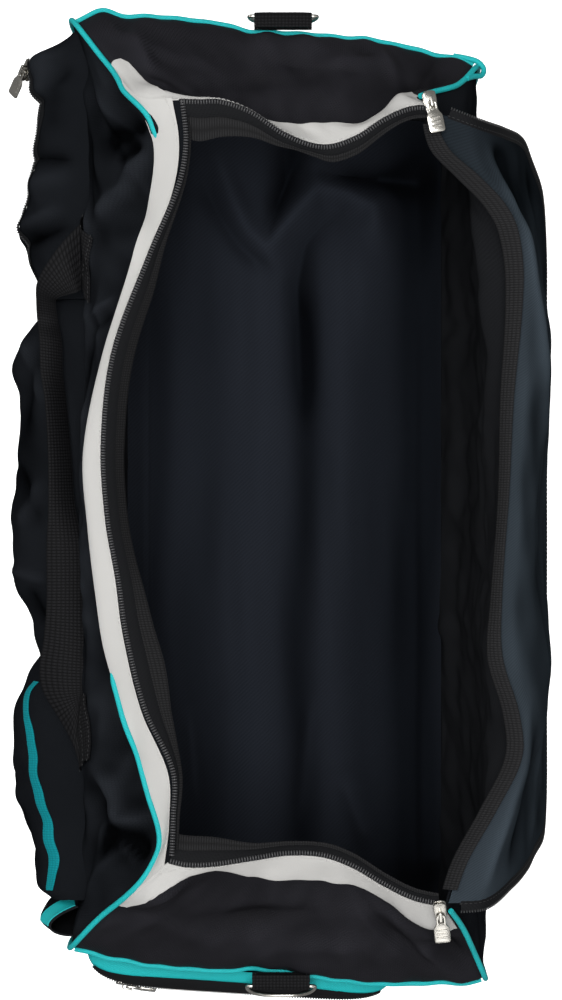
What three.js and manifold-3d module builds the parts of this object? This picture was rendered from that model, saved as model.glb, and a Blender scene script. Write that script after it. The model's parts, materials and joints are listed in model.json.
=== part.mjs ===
// A soft wheeled equipment bag, standing open with its lid turned over the back edge.
// Millimetres, +Z up. +Y runs along the bag to its wheeled end, the far end. -X is the front, with the
// pockets.
import * as THREE from "three";
import { mergeVertices } from "three/addons/utils/BufferGeometryUtils.js";
import Module from "manifold-3d";

const wasm = await Module();
wasm.setup();

// Driving sizes
const CLOTH = 2.0;
const FACING = 1.2;
const TAPE = 1.4;
const WEBBING = 2.2;
const WEBBING_WIDTH = 38;
const PIPING_RADIUS = 2.3;
const SEAM_GAP = { front: 4.4, back: 3.8, far: 6.5, near: 5.5, shoulder: 3.6 };
const LAYER_GAP = 1.5;
const POCKET_GAP = 2.2;
const FACING_GAP = 2.2;
const BASE_Z = 44;
const BASE_CLOTH = 2.5;
const WHEEL_RADIUS = 27;
const WHEEL_Y = 388;
const WHEEL_X = 132;
const CENTRE = { x: 2.4, y: -8.4 };

// The base rises towards the wheeled end, over this stretch and by this much, to make room for the wheels.
const KICK = { from: 330, length: 94, height: 38 };

// Levels up the walls: the height v on a wall from 0 to 1, the four corners, and how far each side's middle
// bows out.
const LEVELS = [
  {
    name: "base", v: 0,
    farLeft: [-160, 424, BASE_Z], nearLeft: [-160, -418, BASE_Z],
    nearRight: [168, -428, BASE_Z], farRight: [168, 396, BASE_Z],
    front: 0, back: 0, far: 0, near: 0, flatness: 4,
  },
  {
    name: "belly", v: 0.26,
    farLeft: [-196, 454, 135], nearLeft: [-198, -430, 135],
    nearRight: [193, -450, 135], farRight: [191, 414, 135],
    front: -4, back: 2, far: 10, near: 8, flatness: 4,
  },
  {
    name: "shoulder", v: 0.56,
    farLeft: [-202, 466, 240], nearLeft: [-204, -435, 240],
    nearRight: [198, -458, 240], farRight: [196, 421, 240],
    front: -14, back: 2, far: 13, near: 12, flatness: 6,
  },
  {
    name: "hip", v: 0.76,
    farLeft: [-160, 409, 284], nearLeft: [-168, -394, 284],
    nearRight: [182, -428, 284], farRight: [166, 394, 284],
    front: 25, back: 26, far: 12, near: 3, flatness: 2.4,
  },
];

// The top two levels are the outer seam of the white facing, and the zip line at the mouth of the bag.
const SEAM = {
  v: 0.92,
  farLeft: [-131, 375, 318], nearLeft: [-129.5, -349, 318],
  nearRight: [168, -398, 315], farRight: [128, 376, 318],
};
const ZIP = {
  v: 1,
  farLeft: [-93, 372, 334], nearLeft: [-103, -337, 334],
  nearRight: [153, -375, 338], farRight: [140, 363, 338],
};

// How the two top lines stand out from straight lines between the corners (out) and rise above them (rise).
// The place t runs from far to near on the long sides, and from front to back on the ends.
const TOP_EDGES = {
  front: [
    { t: 0, seamOut: 0, seamRise: 0, zipOut: 0, zipRise: 0 },
    { t: 0.055, seamOut: -16, seamRise: 1, zipOut: -4, zipRise: 0 },
    { t: 0.11, seamOut: -11, seamRise: 1, zipOut: 2, zipRise: -1 },
    { t: 0.2, seamOut: 10, seamRise: 0, zipOut: 28, zipRise: -4 },
    { t: 0.33, seamOut: 38, seamRise: -3, zipOut: 61, zipRise: -8 },
    { t: 0.45, seamOut: 54, seamRise: -6, zipOut: 67, zipRise: -11 },
    { t: 0.58, seamOut: 49, seamRise: -6, zipOut: 56, zipRise: -11 },
    { t: 0.7, seamOut: 37, seamRise: -4, zipOut: 45, zipRise: -8 },
    { t: 0.8, seamOut: 17, seamRise: -1, zipOut: 27, zipRise: -4 },
    { t: 0.88, seamOut: -1, seamRise: 0, zipOut: 0, zipRise: -1 },
    { t: 0.945, seamOut: -14, seamRise: 1, zipOut: -1, zipRise: 0 },
    { t: 1, seamOut: 0, seamRise: 0, zipOut: 0, zipRise: 0 },
  ],
  back: [
    { t: 0, seamOut: 0, seamRise: 0, zipOut: 0, zipRise: 0 },
    { t: 0.085, seamOut: 27, seamRise: 1, zipOut: 23, zipRise: 0 },
    { t: 0.155, seamOut: 64, seamRise: 1, zipOut: 61, zipRise: -1 },
    { t: 0.22, seamOut: 76, seamRise: 0, zipOut: 73, zipRise: -2 },
    { t: 0.36, seamOut: 65, seamRise: -1, zipOut: 65, zipRise: -4 },
    { t: 0.49, seamOut: 56, seamRise: -2, zipOut: 60, zipRise: -5 },
    { t: 0.62, seamOut: 43, seamRise: -2, zipOut: 51, zipRise: -5 },
    { t: 0.69, seamOut: 39, seamRise: -1, zipOut: 49, zipRise: -4 },
    { t: 0.76, seamOut: 51, seamRise: 0, zipOut: 63, zipRise: -3 },
    { t: 0.815, seamOut: 53, seamRise: 0, zipOut: 65, zipRise: -2 },
    { t: 0.88, seamOut: 29, seamRise: 0, zipOut: 42, zipRise: -1 },
    { t: 0.945, seamOut: 6, seamRise: 0, zipOut: 15, zipRise: 0 },
    { t: 1, seamOut: 0, seamRise: 0, zipOut: 0, zipRise: 0 },
  ],
  far: [
    { t: 0, seamOut: 0, seamRise: 0, zipOut: 0, zipRise: 0 },
    { t: 0.07, seamOut: 7, seamRise: 0, zipOut: 0, zipRise: 0 },
    { t: 0.16, seamOut: 5, seamRise: -2, zipOut: 1, zipRise: -2 },
    { t: 0.28, seamOut: -4, seamRise: -6, zipOut: -7, zipRise: -6 },
    { t: 0.42, seamOut: -14, seamRise: -10, zipOut: -28, zipRise: -13 },
    { t: 0.57, seamOut: -18, seamRise: -12, zipOut: -40, zipRise: -17 },
    { t: 0.7, seamOut: -21, seamRise: -10, zipOut: -32, zipRise: -14 },
    { t: 0.8, seamOut: -21, seamRise: -6, zipOut: -14, zipRise: -8 },
    { t: 0.88, seamOut: -10, seamRise: -3, zipOut: -2, zipRise: -3 },
    { t: 0.94, seamOut: 5, seamRise: 0, zipOut: 1, zipRise: 0 },
    { t: 1, seamOut: 0, seamRise: 0, zipOut: 0, zipRise: 0 },
  ],
  near: [
    { t: 0, seamOut: 0, seamRise: 0, zipOut: 0, zipRise: 0 },
    { t: 0.06, seamOut: 11, seamRise: 0, zipOut: 1, zipRise: 0 },
    { t: 0.16, seamOut: -6, seamRise: -3, zipOut: -3, zipRise: -3 },
    { t: 0.3, seamOut: -14, seamRise: -7, zipOut: -13, zipRise: -8 },
    { t: 0.43, seamOut: -17, seamRise: -9, zipOut: -28, zipRise: -13 },
    { t: 0.56, seamOut: -20, seamRise: -10, zipOut: -33, zipRise: -14 },
    { t: 0.67, seamOut: -20, seamRise: -8, zipOut: -22, zipRise: -10 },
    { t: 0.78, seamOut: -9, seamRise: -4, zipOut: -8, zipRise: -5 },
    { t: 0.89, seamOut: 6, seamRise: 0, zipOut: 0, zipRise: 0 },
    { t: 1, seamOut: 0, seamRise: 0, zipOut: 0, zipRise: 0 },
  ],
};

// The corners that each side runs between, and which way its outside faces.
const SIDES = {
  front: { start: "farLeft", end: "nearLeft", outward: [-1, 0, 0], turn: 1 },
  back: { start: "farRight", end: "nearRight", outward: [1, 0, 0], turn: -1 },
  far: { start: "farLeft", end: "farRight", outward: [0, 1, 0], turn: -1 },
  near: { start: "nearLeft", end: "nearRight", outward: [0, -1, 0], turn: 1 },
};

// Creases and swells in the walls: place, half length and half width in mm, slant in degrees, and height
// outwards.
const FOLDS = [
  { side: "front", t: 0.115, v: 0.8, length: 62, width: 15, slant: 52, height: -9 },
  { side: "front", t: 0.16, v: 0.83, length: 60, width: 18, slant: 48, height: 6 },
  { side: "front", t: 0.06, v: 0.66, length: 70, width: 17, slant: 62, height: -8 },
  { side: "front", t: 0.31, v: 0.8, length: 40, width: 20, slant: 30, height: -6 },
  { side: "front", t: 0.87, v: 0.79, length: 58, width: 16, slant: -50, height: -9 },
  { side: "front", t: 0.92, v: 0.66, length: 66, width: 18, slant: -60, height: -8 },
  { side: "front", t: 0.82, v: 0.82, length: 52, width: 18, slant: -46, height: 6 },
  { side: "back", t: 0.66, v: 0.88, length: 46, width: 30, slant: 80, height: -6 },
  { side: "back", t: 0.3, v: 0.4, length: 120, width: 50, slant: 70, height: 5 },
  { side: "back", t: 0.62, v: 0.4, length: 120, width: 46, slant: 100, height: -6 },
  { side: "far", t: 0.5, v: 0.76, length: 110, width: 40, slant: 0, height: -5 },
  { side: "far", t: 0.88, v: 0.8, length: 44, width: 15, slant: 60, height: -6 },
  { side: "near", t: 0.5, v: 0.74, length: 110, width: 40, slant: 0, height: -4 },
  { side: "near", t: 0.8, v: 0.76, length: 50, width: 16, slant: -40, height: -6 },
];
const SIDE_LENGTH = { front: 900, back: 880, far: 400, near: 405 };
const WALL_HEIGHT = 330;

// The walls are made of flat facets: this many along each side, in rows at these heights.
const FACETS = { front: 20, back: 18, far: 12, near: 12 };
const SHOULDER_V = 0.56;
const SHOULDER_GAP = SEAM_GAP.shoulder / WALL_HEIGHT;
const LOW_ROWS = [0.012, 0.13, 0.26, 0.42];
const HIGH_ROWS = [0.66, 0.76, 0.84, 0.92, 0.96, 1];
const WALL_ROWS = [...LOW_ROWS, SHOULDER_V, ...HIGH_ROWS];
const BACK_ROWS = [0.012, 0.14, 0.28, 0.42, 0.56, 0.7, 0.82, 0.92, 1];
const END_ROWS = [...LOW_ROWS, SHOULDER_V - SHOULDER_GAP];
const TOP_ROWS = [SHOULDER_V + SHOULDER_GAP, ...HIGH_ROWS];

// Lengthwise swells of the floor: place across in mm, half width and height.
const FLOOR_RIDGES = [
  { x: -96, width: 40, height: 8 },
  { x: -28, width: 30, height: 6 },
  { x: 72, width: 44, height: 9 },
];

// The lid from its hinge to its free edge: part of the way out to the fall line, part of the drop, and how far
// its ends lie beyond (far) and before (near) the ends of the hinge.
const LID_ROWS = [
  { s: 0, out: 0, drop: 0, far: -2, near: -2 },
  { s: 0.1, out: 0.28, drop: 0.015, far: -6, near: -8 },
  { s: 0.24, out: 0.5, drop: 0.16, far: -4, near: -6 },
  { s: 0.5, out: 0.7, drop: 0.46, far: 4, near: 8 },
  { s: 0.8, out: 0.91, drop: 0.8, far: 10, near: 18 },
  { s: 1, out: 1, drop: 1, far: 8, near: 16 },
];
const LID_FALL_X = 287;
const LID_EDGE_Z = 14;
const LID_CORNER = 0.2;
const LID_COLUMNS = 18;
const LID_STATIONS = [0.02, 0.1, 0.24, 0.44, 0.64, 0.8, 0.88, 0.94, 0.98, 1];
const LID_TAPE_WIDTH = 11;
const LID_SWELLS = [
  { t: 0.14, s: 0.42, along: 0.08, across: 0.4, height: -9 },
  { t: 0.3, s: 0.5, along: 0.12, across: 0.5, height: 5 },
  { t: 0.52, s: 0.5, along: 0.1, across: 0.6, height: -5 },
  { t: 0.7, s: 0.45, along: 0.09, across: 0.5, height: 6 },
  { t: 0.86, s: 0.45, along: 0.06, across: 0.4, height: -8 },
];

// Front pockets: their stretch along the wall (t) and up it (v), and how far they stand out along their length.
const POCKETS = {
  far: {
    tFrom: 0.012, tTo: 0.285, vTop: 0.56, vBottom: 0.05,
    reach: [
      { a: 0, depth: 0 },
      { a: 0.08, depth: 38 },
      { a: 0.25, depth: 46 },
      { a: 0.52, depth: 60 },
      { a: 0.74, depth: 84 },
      { a: 0.86, depth: 74 },
      { a: 0.95, depth: 48 },
      { a: 1, depth: 0 },
    ],
  },
  middle: {
    tFrom: 0.315, tTo: 0.675, vTop: 0.53, vBottom: 0.05,
    reach: [
      { a: 0, depth: 0 },
      { a: 0.05, depth: 58 },
      { a: 0.12, depth: 80 },
      { a: 0.3, depth: 76 },
      { a: 0.5, depth: 81 },
      { a: 0.68, depth: 86 },
      { a: 0.8, depth: 74 },
      { a: 0.92, depth: 56 },
      { a: 1, depth: 0 },
    ],
  },
  near: {
    tFrom: 0.69, tTo: 0.95, vTop: 0.57, vBottom: 0.05,
    reach: [
      { a: 0, depth: 0 },
      { a: 0.06, depth: 52 },
      { a: 0.22, depth: 80 },
      { a: 0.42, depth: 78 },
      { a: 0.62, depth: 70 },
      { a: 0.82, depth: 56 },
      { a: 0.94, depth: 40 },
      { a: 1, depth: 0 },
    ],
  },
};
const BOTTLE_POCKET = { tFrom: 0.96, tTo: 0.989, vTop: 0.5, vBottom: 0.1, depth: 32 };
const END_POCKET = { tFrom: 0.045, tTo: 0.77, vTop: 0.515, vBottom: 0.06, depth: 27 };

// The carry handle: place along the front wall, height up, distance off the wall, and its roll in degrees from
// flat against the wall (0) to lying level (90).
const HANDLE_ROWS = [
  { t: 0.205, z: 263, off: 3.9, roll: -13 },
  { t: 0.25, z: 263, off: 3.9, roll: -10 },
  { t: 0.275, z: 262, off: 13, roll: 34 },
  { t: 0.3, z: 257, off: 24, roll: 82 },
  { t: 0.325, z: 249, off: 27, roll: 84 },
  { t: 0.35, z: 249, off: 29, roll: 60 },
  { t: 0.4, z: 254, off: 32, roll: 38 },
  { t: 0.47, z: 254, off: 30, roll: 48 },
  { t: 0.56, z: 251, off: 28, roll: 66 },
  { t: 0.64, z: 251, off: 27, roll: 80 },
  { t: 0.69, z: 256, off: 24, roll: 74 },
  { t: 0.72, z: 262, off: 13, roll: 36 },
  { t: 0.745, z: 265, off: 4.2, roll: -8 },
  { t: 0.795, z: 265, off: 4.2, roll: -12 },
];

// Where the white facing's outer edge dips down the hips beside the front corners.
const TONGUE = [
  { t: 0, v: 0.945 },
  { t: 0.024, v: 0.94 },
  { t: 0.04, v: 0.8 },
  { t: 0.075, v: 0.795 },
  { t: 0.11, v: 0.85 },
  { t: 0.15, v: 0.915 },
  { t: 0.3, v: 0.92 },
  { t: 0.9, v: 0.915 },
  { t: 0.95, v: 0.89 },
  { t: 0.975, v: 0.89 },
];

const COLOURS = {
  cloth: { color: 0x15181d, roughness: 0.8, metalness: 0 },
  lining: { color: 0x10151b, roughness: 0.75, metalness: 0 },
  shoulder: { color: 0x212024, roughness: 0.85, metalness: 0 },
  turquoise: { color: 0x14b4b6, roughness: 0.6, metalness: 0 },
  white: { color: 0xe2dfda, roughness: 0.7, metalness: 0 },
  tape: { color: 0x232326, roughness: 0.85, metalness: 0 },
  webbing: { color: 0x141416, roughness: 0.75, metalness: 0 },
  nickel: { color: 0xc9c2b4, roughness: 0.3, metalness: 1 },
  plastic: { color: 0x1a1b1d, roughness: 0.5, metalness: 0 },
  rubber: { color: 0x111112, roughness: 0.9, metalness: 0 },
};

// Small sums
const lerp = THREE.MathUtils.lerp;
const smooth = (x) => THREE.MathUtils.smoothstep(x, 0, 1);
const vec = (p) => new THREE.Vector3(p[0], p[1], p[2]);
const radians = THREE.MathUtils.degToRad;

// A smooth curve through a table's rows: the value of one column at a place given in another.
function follow(rows, at, column, place) {
  const last = rows.length - 1;
  let i = 0;
  while (i < last - 1 && place > rows[i + 1][at]) i += 1;
  const slope = (k) => {
    const a = rows[Math.max(k - 1, 0)];
    const b = rows[Math.min(k + 1, last)];
    return (b[column] - a[column]) / (b[at] - a[at]);
  };
  const low = rows[i];
  const high = rows[i + 1];
  const span = high[at] - low[at];
  const x = (place - low[at]) / span;
  const x2 = x * x;
  const x3 = x2 * x;
  return (
    (2 * x3 - 3 * x2 + 1) * low[column] +
    (x3 - 2 * x2 + x) * span * slope(i) +
    (3 * x2 - 2 * x3) * high[column] +
    (x3 - x2) * span * slope(i + 1)
  );
}

const kick = (y) => KICK.height * smooth((y - KICK.from) / KICK.length);

// A point of one level on one side.
function levelPoint(level, side, t) {
  const { start, end, outward } = SIDES[side];
  const point = vec(level[start]).lerp(vec(level[end]), t);
  const bow = level[side] * (1 - Math.abs(2 * t - 1) ** level.flatness);
  point.addScaledVector(vec(outward), bow);
  if (level.name === "base") point.z += kick(point.y);
  return point;
}

function topPoint(line, side, t, outColumn, riseColumn) {
  const { start, end, outward } = SIDES[side];
  const point = vec(line[start]).lerp(vec(line[end]), t);
  point.addScaledVector(vec(outward), follow(TOP_EDGES[side], "t", outColumn, t));
  point.z += follow(TOP_EDGES[side], "t", riseColumn, t);
  return point;
}

function foldHeight(side, t, v) {
  let height = 0;
  for (const fold of FOLDS) {
    if (fold.side !== side) continue;
    const along = (t - fold.t) * SIDE_LENGTH[side];
    const up = (v - fold.v) * WALL_HEIGHT;
    const cos = Math.cos(radians(fold.slant));
    const sin = Math.sin(radians(fold.slant));
    const p = (along * cos + up * sin) / fold.length;
    const q = (up * cos - along * sin) / fold.width;
    height += fold.height * Math.exp(-p * p - q * q);
  }
  const ease = smooth(t / 0.05) * smooth((1 - t) / 0.05) * smooth((1 - v) / 0.12) * smooth(v / 0.1);
  return height * ease;
}

// A point on the outside of a wall: t along the side, v up from the base to the zip line.
function wall(side, t, v) {
  const rows = LEVELS.map((level) => ({ v: level.v, p: levelPoint(level, side, t) }));
  rows.push({ v: SEAM.v, p: topPoint(SEAM, side, t, "seamOut", "seamRise") });
  rows.push({ v: ZIP.v, p: topPoint(ZIP, side, t, "zipOut", "zipRise") });
  const flat = rows.map((row) => ({ v: row.v, x: row.p.x, y: row.p.y, z: row.p.z }));
  const point = new THREE.Vector3(
    follow(flat, "v", "x", v),
    follow(flat, "v", "y", v),
    follow(flat, "v", "z", v),
  );
  const lean = Math.min(Math.max((v - 0.5) / 0.3, 0), 1);
  const out = vec(SIDES[side].outward).multiplyScalar(1 - 0.5 * lean);
  out.z = 0.7 * lean;
  return point.addScaledVector(out.normalize(), foldHeight(side, t, v));
}

// The height up a wall, as v, where its outside reaches a height z.
function heightAt(side, t, z) {
  let low = 0;
  let high = 1;
  for (let step = 0; step < 24; step += 1) {
    const middle = (low + high) / 2;
    if (wall(side, t, middle).z < z) low = middle;
    else high = middle;
  }
  return (low + high) / 2;
}

// Meshes
function closedGeometry(points, triangles) {
  let volume = 0;
  for (let i = 0; i < triangles.length; i += 3) {
    const [a, b, c] = [points[triangles[i]], points[triangles[i + 1]], points[triangles[i + 2]]];
    volume += a.dot(new THREE.Vector3().crossVectors(b, c));
  }
  const index = volume < 0 ? triangles.slice().reverse() : triangles;
  const geometry = new THREE.BufferGeometry();
  const places = points.flatMap((p) => p.toArray());
  geometry.setAttribute("position", new THREE.Float32BufferAttribute(places, 3));
  geometry.setIndex(index);
  return geometry;
}

// Even steps from one value to another.
const steps = (from, to, count) => Array.from({ length: count + 1 }, (_, i) => lerp(from, to, i / count));

// A closed sheet on a grid of points, given at places along and across it. Its two faces stand `lift` and
// `lift + thickness` off the given surface.
function sheet(pointAt, placesAlong, placesAcross, lift, thickness) {
  const along = placesAlong.length - 1;
  const across = placesAcross.length - 1;
  const grid = placesAlong.map((a) => placesAcross.map((b) => pointAt(a, b)));
  const normal = (i, j) => {
    const a = grid[Math.min(i + 1, along)][j].clone().sub(grid[Math.max(i - 1, 0)][j]);
    const b = grid[i][Math.min(j + 1, across)].clone().sub(grid[i][Math.max(j - 1, 0)]);
    return a.cross(b).normalize();
  };
  const points = [];
  const lower = (i, j) => (i * (across + 1) + j) * 2;
  const upper = (i, j) => lower(i, j) + 1;
  for (let i = 0; i <= along; i += 1) {
    for (let j = 0; j <= across; j += 1) {
      const n = normal(i, j);
      points.push(grid[i][j].clone().addScaledVector(n, lift));
      points.push(grid[i][j].clone().addScaledVector(n, lift + thickness));
    }
  }
  const triangles = [];
  const quad = (a, b, c, d) => triangles.push(a, b, c, a, c, d);
  for (let i = 0; i < along; i += 1) {
    for (let j = 0; j < across; j += 1) {
      quad(upper(i, j), upper(i + 1, j), upper(i + 1, j + 1), upper(i, j + 1));
      quad(lower(i, j), lower(i, j + 1), lower(i + 1, j + 1), lower(i + 1, j));
    }
    quad(lower(i, 0), lower(i + 1, 0), upper(i + 1, 0), upper(i, 0));
    quad(lower(i, across), upper(i, across), upper(i + 1, across), lower(i + 1, across));
  }
  for (let j = 0; j < across; j += 1) {
    quad(lower(0, j), upper(0, j), upper(0, j + 1), lower(0, j + 1));
    quad(lower(along, j), lower(along, j + 1), upper(along, j + 1), upper(along, j));
  }
  return closedGeometry(points, triangles);
}

// A round cord with a ring of corners at each point. A closed cord joins its last ring to its first.
function cord(points, radius, sides, closed = false) {
  const count = points.length;
  const last = count - 1;
  const tangents = points.map((_, i) => {
    const before = closed ? points[(i + last) % count] : points[Math.max(i - 1, 0)];
    const after = closed ? points[(i + 1) % count] : points[Math.min(i + 1, last)];
    return after.clone().sub(before).normalize();
  });
  const aside = Math.abs(tangents[0].y) < 0.9 ? new THREE.Vector3(0, 1, 0) : new THREE.Vector3(1, 0, 0);
  let normal = aside.cross(tangents[0]).normalize();
  const corners = [];
  tangents.forEach((tangent, i) => {
    normal = normal.clone().addScaledVector(tangent, -normal.dot(tangent)).normalize();
    const binormal = new THREE.Vector3().crossVectors(tangent, normal);
    for (let k = 0; k < sides; k += 1) {
      const angle = (2 * Math.PI * k) / sides;
      const corner = points[i].clone().addScaledVector(normal, radius * Math.cos(angle));
      corners.push(corner.addScaledVector(binormal, radius * Math.sin(angle)));
    }
  });
  const triangles = [];
  for (let i = 0; i < (closed ? count : last); i += 1) {
    const here = i * sides;
    const next = ((i + 1) % count) * sides;
    for (let k = 0; k < sides; k += 1) {
      const turn = (k + 1) % sides;
      triangles.push(here + k, here + turn, next + turn, here + k, next + turn, next + k);
    }
  }
  if (!closed) {
    for (let k = 1; k < sides - 1; k += 1) {
      triangles.push(0, k + 1, k, last * sides, last * sides + k, last * sides + k + 1);
    }
  }
  return closedGeometry(corners, triangles);
}

const flatShape = (corners) => new THREE.Shape(corners.map(([x, y]) => new THREE.Vector2(x, y)));

function solidOf(geometry) {
  const bare = geometry.clone();
  bare.deleteAttribute("normal");
  bare.deleteAttribute("uv");
  const merged = mergeVertices(bare, 1e-4);
  return new wasm.Manifold(
    new wasm.Mesh({
      numProp: 3,
      vertProperties: new Float32Array(merged.attributes.position.array),
      triVerts: new Uint32Array(merged.index.array),
    }),
  );
}

function geometryOf(solid) {
  const mesh = solid.getMesh();
  const geometry = new THREE.BufferGeometry();
  geometry.setAttribute("position", new THREE.Float32BufferAttribute(mesh.vertProperties, 3));
  geometry.setIndex(new THREE.Uint32BufferAttribute(mesh.triVerts, 1));
  return geometry;
}

const bag = new THREE.Group();

function place(name, geometry, colour, parent = bag) {
  const mesh = new THREE.Mesh(geometry, new THREE.MeshStandardMaterial(COLOURS[colour]));
  mesh.name = name;
  parent.add(mesh);
  return mesh;
}

// Walls
const seamShare = (side) => SEAM_GAP[side] / SIDE_LENGTH[side];
const columns = (side) => steps(seamShare(side), 1 - seamShare(side), FACETS[side]);

function wallPanel(side, rows) {
  return sheet((t, v) => wall(side, t, v), columns(side), rows, 0, -CLOTH * SIDES[side].turn);
}

// A point on the facets of a wall.
const facetCorners = {};
function facet(side, t, v) {
  facetCorners[side] ??= columns(side).map((column) => WALL_ROWS.map((row) => wall(side, column, row)));
  const grid = facetCorners[side];
  const edge = seamShare(side);
  const place = ((t - edge) / (1 - 2 * edge)) * FACETS[side];
  const i = Math.min(Math.max(Math.floor(place), 0), FACETS[side] - 1);
  let j = 0;
  while (j < WALL_ROWS.length - 2 && v > WALL_ROWS[j + 1]) j += 1;
  const up = (v - WALL_ROWS[j]) / (WALL_ROWS[j + 1] - WALL_ROWS[j]);
  const start = grid[i][j].clone().lerp(grid[i][j + 1], up);
  const end = grid[i + 1][j].clone().lerp(grid[i + 1][j + 1], up);
  return start.lerp(end, place - i);
}

// Off the facets by a height, square to the wall.
function offWall(side, t, v, height) {
  const step = 0.004;
  const a = wall(side, Math.min(t + step, 1), v).sub(wall(side, Math.max(t - step, 0), v));
  const b = wall(side, t, Math.min(v + step, 1)).sub(wall(side, t, Math.max(v - step, 0)));
  const normal = a.cross(b).normalize().multiplyScalar(SIDES[side].turn);
  return facet(side, t, v).addScaledVector(normal, height);
}

place("front_panel", wallPanel("front", WALL_ROWS), "cloth");
place("back_panel", wallPanel("back", BACK_ROWS), "cloth");
for (const end of ["far", "near"]) {
  place(`${end}_end_panel`, wallPanel(end, END_ROWS), "turquoise");
  place(`${end}_shoulder`, wallPanel(end, TOP_ROWS), "shoulder");
}

// Floor
const FLOOR_STATIONS = [0, 0.03, 0.06, 0.09, 0.12, 0.28, 0.5, 0.72, 0.9, 1];
function floorPoint(a, b) {
  const margin = 4;
  const t = lerp(margin / SIDE_LENGTH.front, 1 - margin / SIDE_LENGTH.front, a);
  const front = wall("front", t, 0);
  const back = wall("back", t, 0);
  const width = back.x - front.x;
  const point = front.lerp(back, lerp(margin / width, 1 - margin / width, b));
  const ease = smooth(a / 0.06) * smooth((1 - a) / 0.06) * smooth(b / 0.08) * smooth((1 - b) / 0.08);
  for (const ridge of FLOOR_RIDGES) {
    const q = (point.x - ridge.x) / ridge.width;
    point.z += ridge.height * Math.exp(-q * q) * ease;
  }
  return point;
}
place("base_panel", sheet(floorPoint, FLOOR_STATIONS, steps(0, 1, 14), 0, -BASE_CLOTH), "lining");

// White facing round three sides of the mouth
const MOUTH_TRIM = { far: 0.975, near: 0.97 };

// Places along the mouth, from the back corner of the far end, round the front, to the back corner of the near
// end.
function mouthPlaces(trim) {
  const kept = (side) => columns(side).filter((t) => side === "front" || t < MOUTH_TRIM[side] - trim - 0.01);
  const farEnd = [...kept("far"), MOUTH_TRIM.far - trim].reverse().map((t) => ({ side: "far", t }));
  const front = kept("front").map((t) => ({ side: "front", t }));
  const nearEnd = [...kept("near"), MOUTH_TRIM.near - trim].map((t) => ({ side: "near", t }));
  return [...farEnd, ...front, ...nearEnd];
}

function facingPoint({ side, t }, b) {
  const outer = side === "front" ? SEAM.v + 0.022 : follow(TONGUE, "t", "v", t);
  return facet(side, t, lerp(outer, 0.998, b));
}
place("rim_band", sheet(facingPoint, mouthPlaces(0), steps(0, 1, 3), FACING_GAP, FACING), "white");

// Zip tape and bound seam inside the mouth
function hang({ side, t }, run, dip) {
  const edge = facet(side, t, 1);
  const inside = new THREE.Vector3(lerp(edge.x, 25, 0.3), edge.y * 0.7, edge.z).sub(edge).setZ(0).normalize();
  return edge.addScaledVector(inside, run).setZ(edge.z - dip);
}
const ZIP_TAPE = { start: { run: 3.8, dip: 0 }, end: { run: 13, dip: 6 } };
const BINDING = { start: { run: 13.8, dip: 7.8 }, end: { run: 18.5, dip: 18 } };
function hanging({ start, end }) {
  return (spot, b) => hang(spot, lerp(start.run, end.run, b), lerp(start.dip, end.dip, b));
}
place("rim_zip_tape", sheet(hanging(ZIP_TAPE), mouthPlaces(0.05), [0, 1], 0, TAPE), "tape");
place("rim_binding", sheet(hanging(BINDING), mouthPlaces(0.1), [0, 1], 0, TAPE), "tape");

// Lid, turned over the back edge and hanging to the floor
function lidPoint(t, s) {
  const hinge = wall("back", t, 1);
  const out = follow(LID_ROWS, "s", "out", s);
  const drop = follow(LID_ROWS, "s", "drop", s);
  const beyond = lerp(follow(LID_ROWS, "s", "far", s), -follow(LID_ROWS, "s", "near", s), t);
  const point = new THREE.Vector3(
    lerp(hinge.x + 5, LID_FALL_X, out),
    hinge.y + beyond,
    lerp(hinge.z + 2, LID_EDGE_Z, drop),
  );
  for (const swell of LID_SWELLS) {
    const p = (t - swell.t) / swell.along;
    const q = (s - swell.s) / swell.across;
    point.x += swell.height * Math.exp(-p * p - q * q) * smooth(s / 0.3) * smooth((1 - s) / 0.2);
  }
  return point;
}

// The lid's free corners are round: near the free edge its ends draw in.
function lidRound(t, s) {
  const rise = Math.max((s - (1 - LID_CORNER)) / LID_CORNER, 0);
  const inset = (LID_CORNER * 0.42) * (1 - Math.sqrt(Math.max(1 - rise * rise * 0.96, 0)));
  return lidPoint(lerp(inset, 1 - inset, t), s);
}
place("lid_panel", sheet(lidRound, steps(0, 1, LID_COLUMNS), LID_STATIONS, 0, -CLOTH), "lining");

// The zip half on the lid's three free edges lies beyond the cloth.
const lidRim = [
  ...LID_STATIONS.slice(1, -1).map((s) => ({ t: 0, s })),
  ...steps(0, 1, LID_COLUMNS).map((t) => ({ t, s: 1 })),
  ...LID_STATIONS.slice(1, -1).map((s) => ({ t: 1, s })).reverse(),
];

function lidTapePoint(i, b) {
  const at = (k) => lidRound(lidRim[k].t, lidRim[k].s);
  const edge = at(i);
  const along = at(Math.min(i + 1, lidRim.length - 1)).sub(at(Math.max(i - 1, 0))).normalize();
  const inner = lidRound(lerp(lidRim[i].t, 0.5, 0.08), lerp(lidRim[i].s, 0.5, 0.08));
  const outward = edge.clone().sub(inner);
  outward.addScaledVector(along, -outward.dot(along)).normalize();
  return edge.addScaledVector(outward, lerp(LAYER_GAP, LID_TAPE_WIDTH, b));
}
place("lid_zip_tape", sheet(lidTapePoint, [...lidRim.keys()], [0, 1], 0, -TAPE), "tape");

// Bound seam along the hinge
function hingePoint(a, b) {
  const t = lerp(0.03, 0.97, a);
  const hinge = wall("back", t, 1);
  return new THREE.Vector3(hinge.x + lerp(-9, 4, b), hinge.y, hinge.z + lerp(1.5, 7, b));
}
place("hinge_binding", sheet(hingePoint, steps(0, 1, 24), [0, 1], 0, TAPE), "tape");

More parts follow.
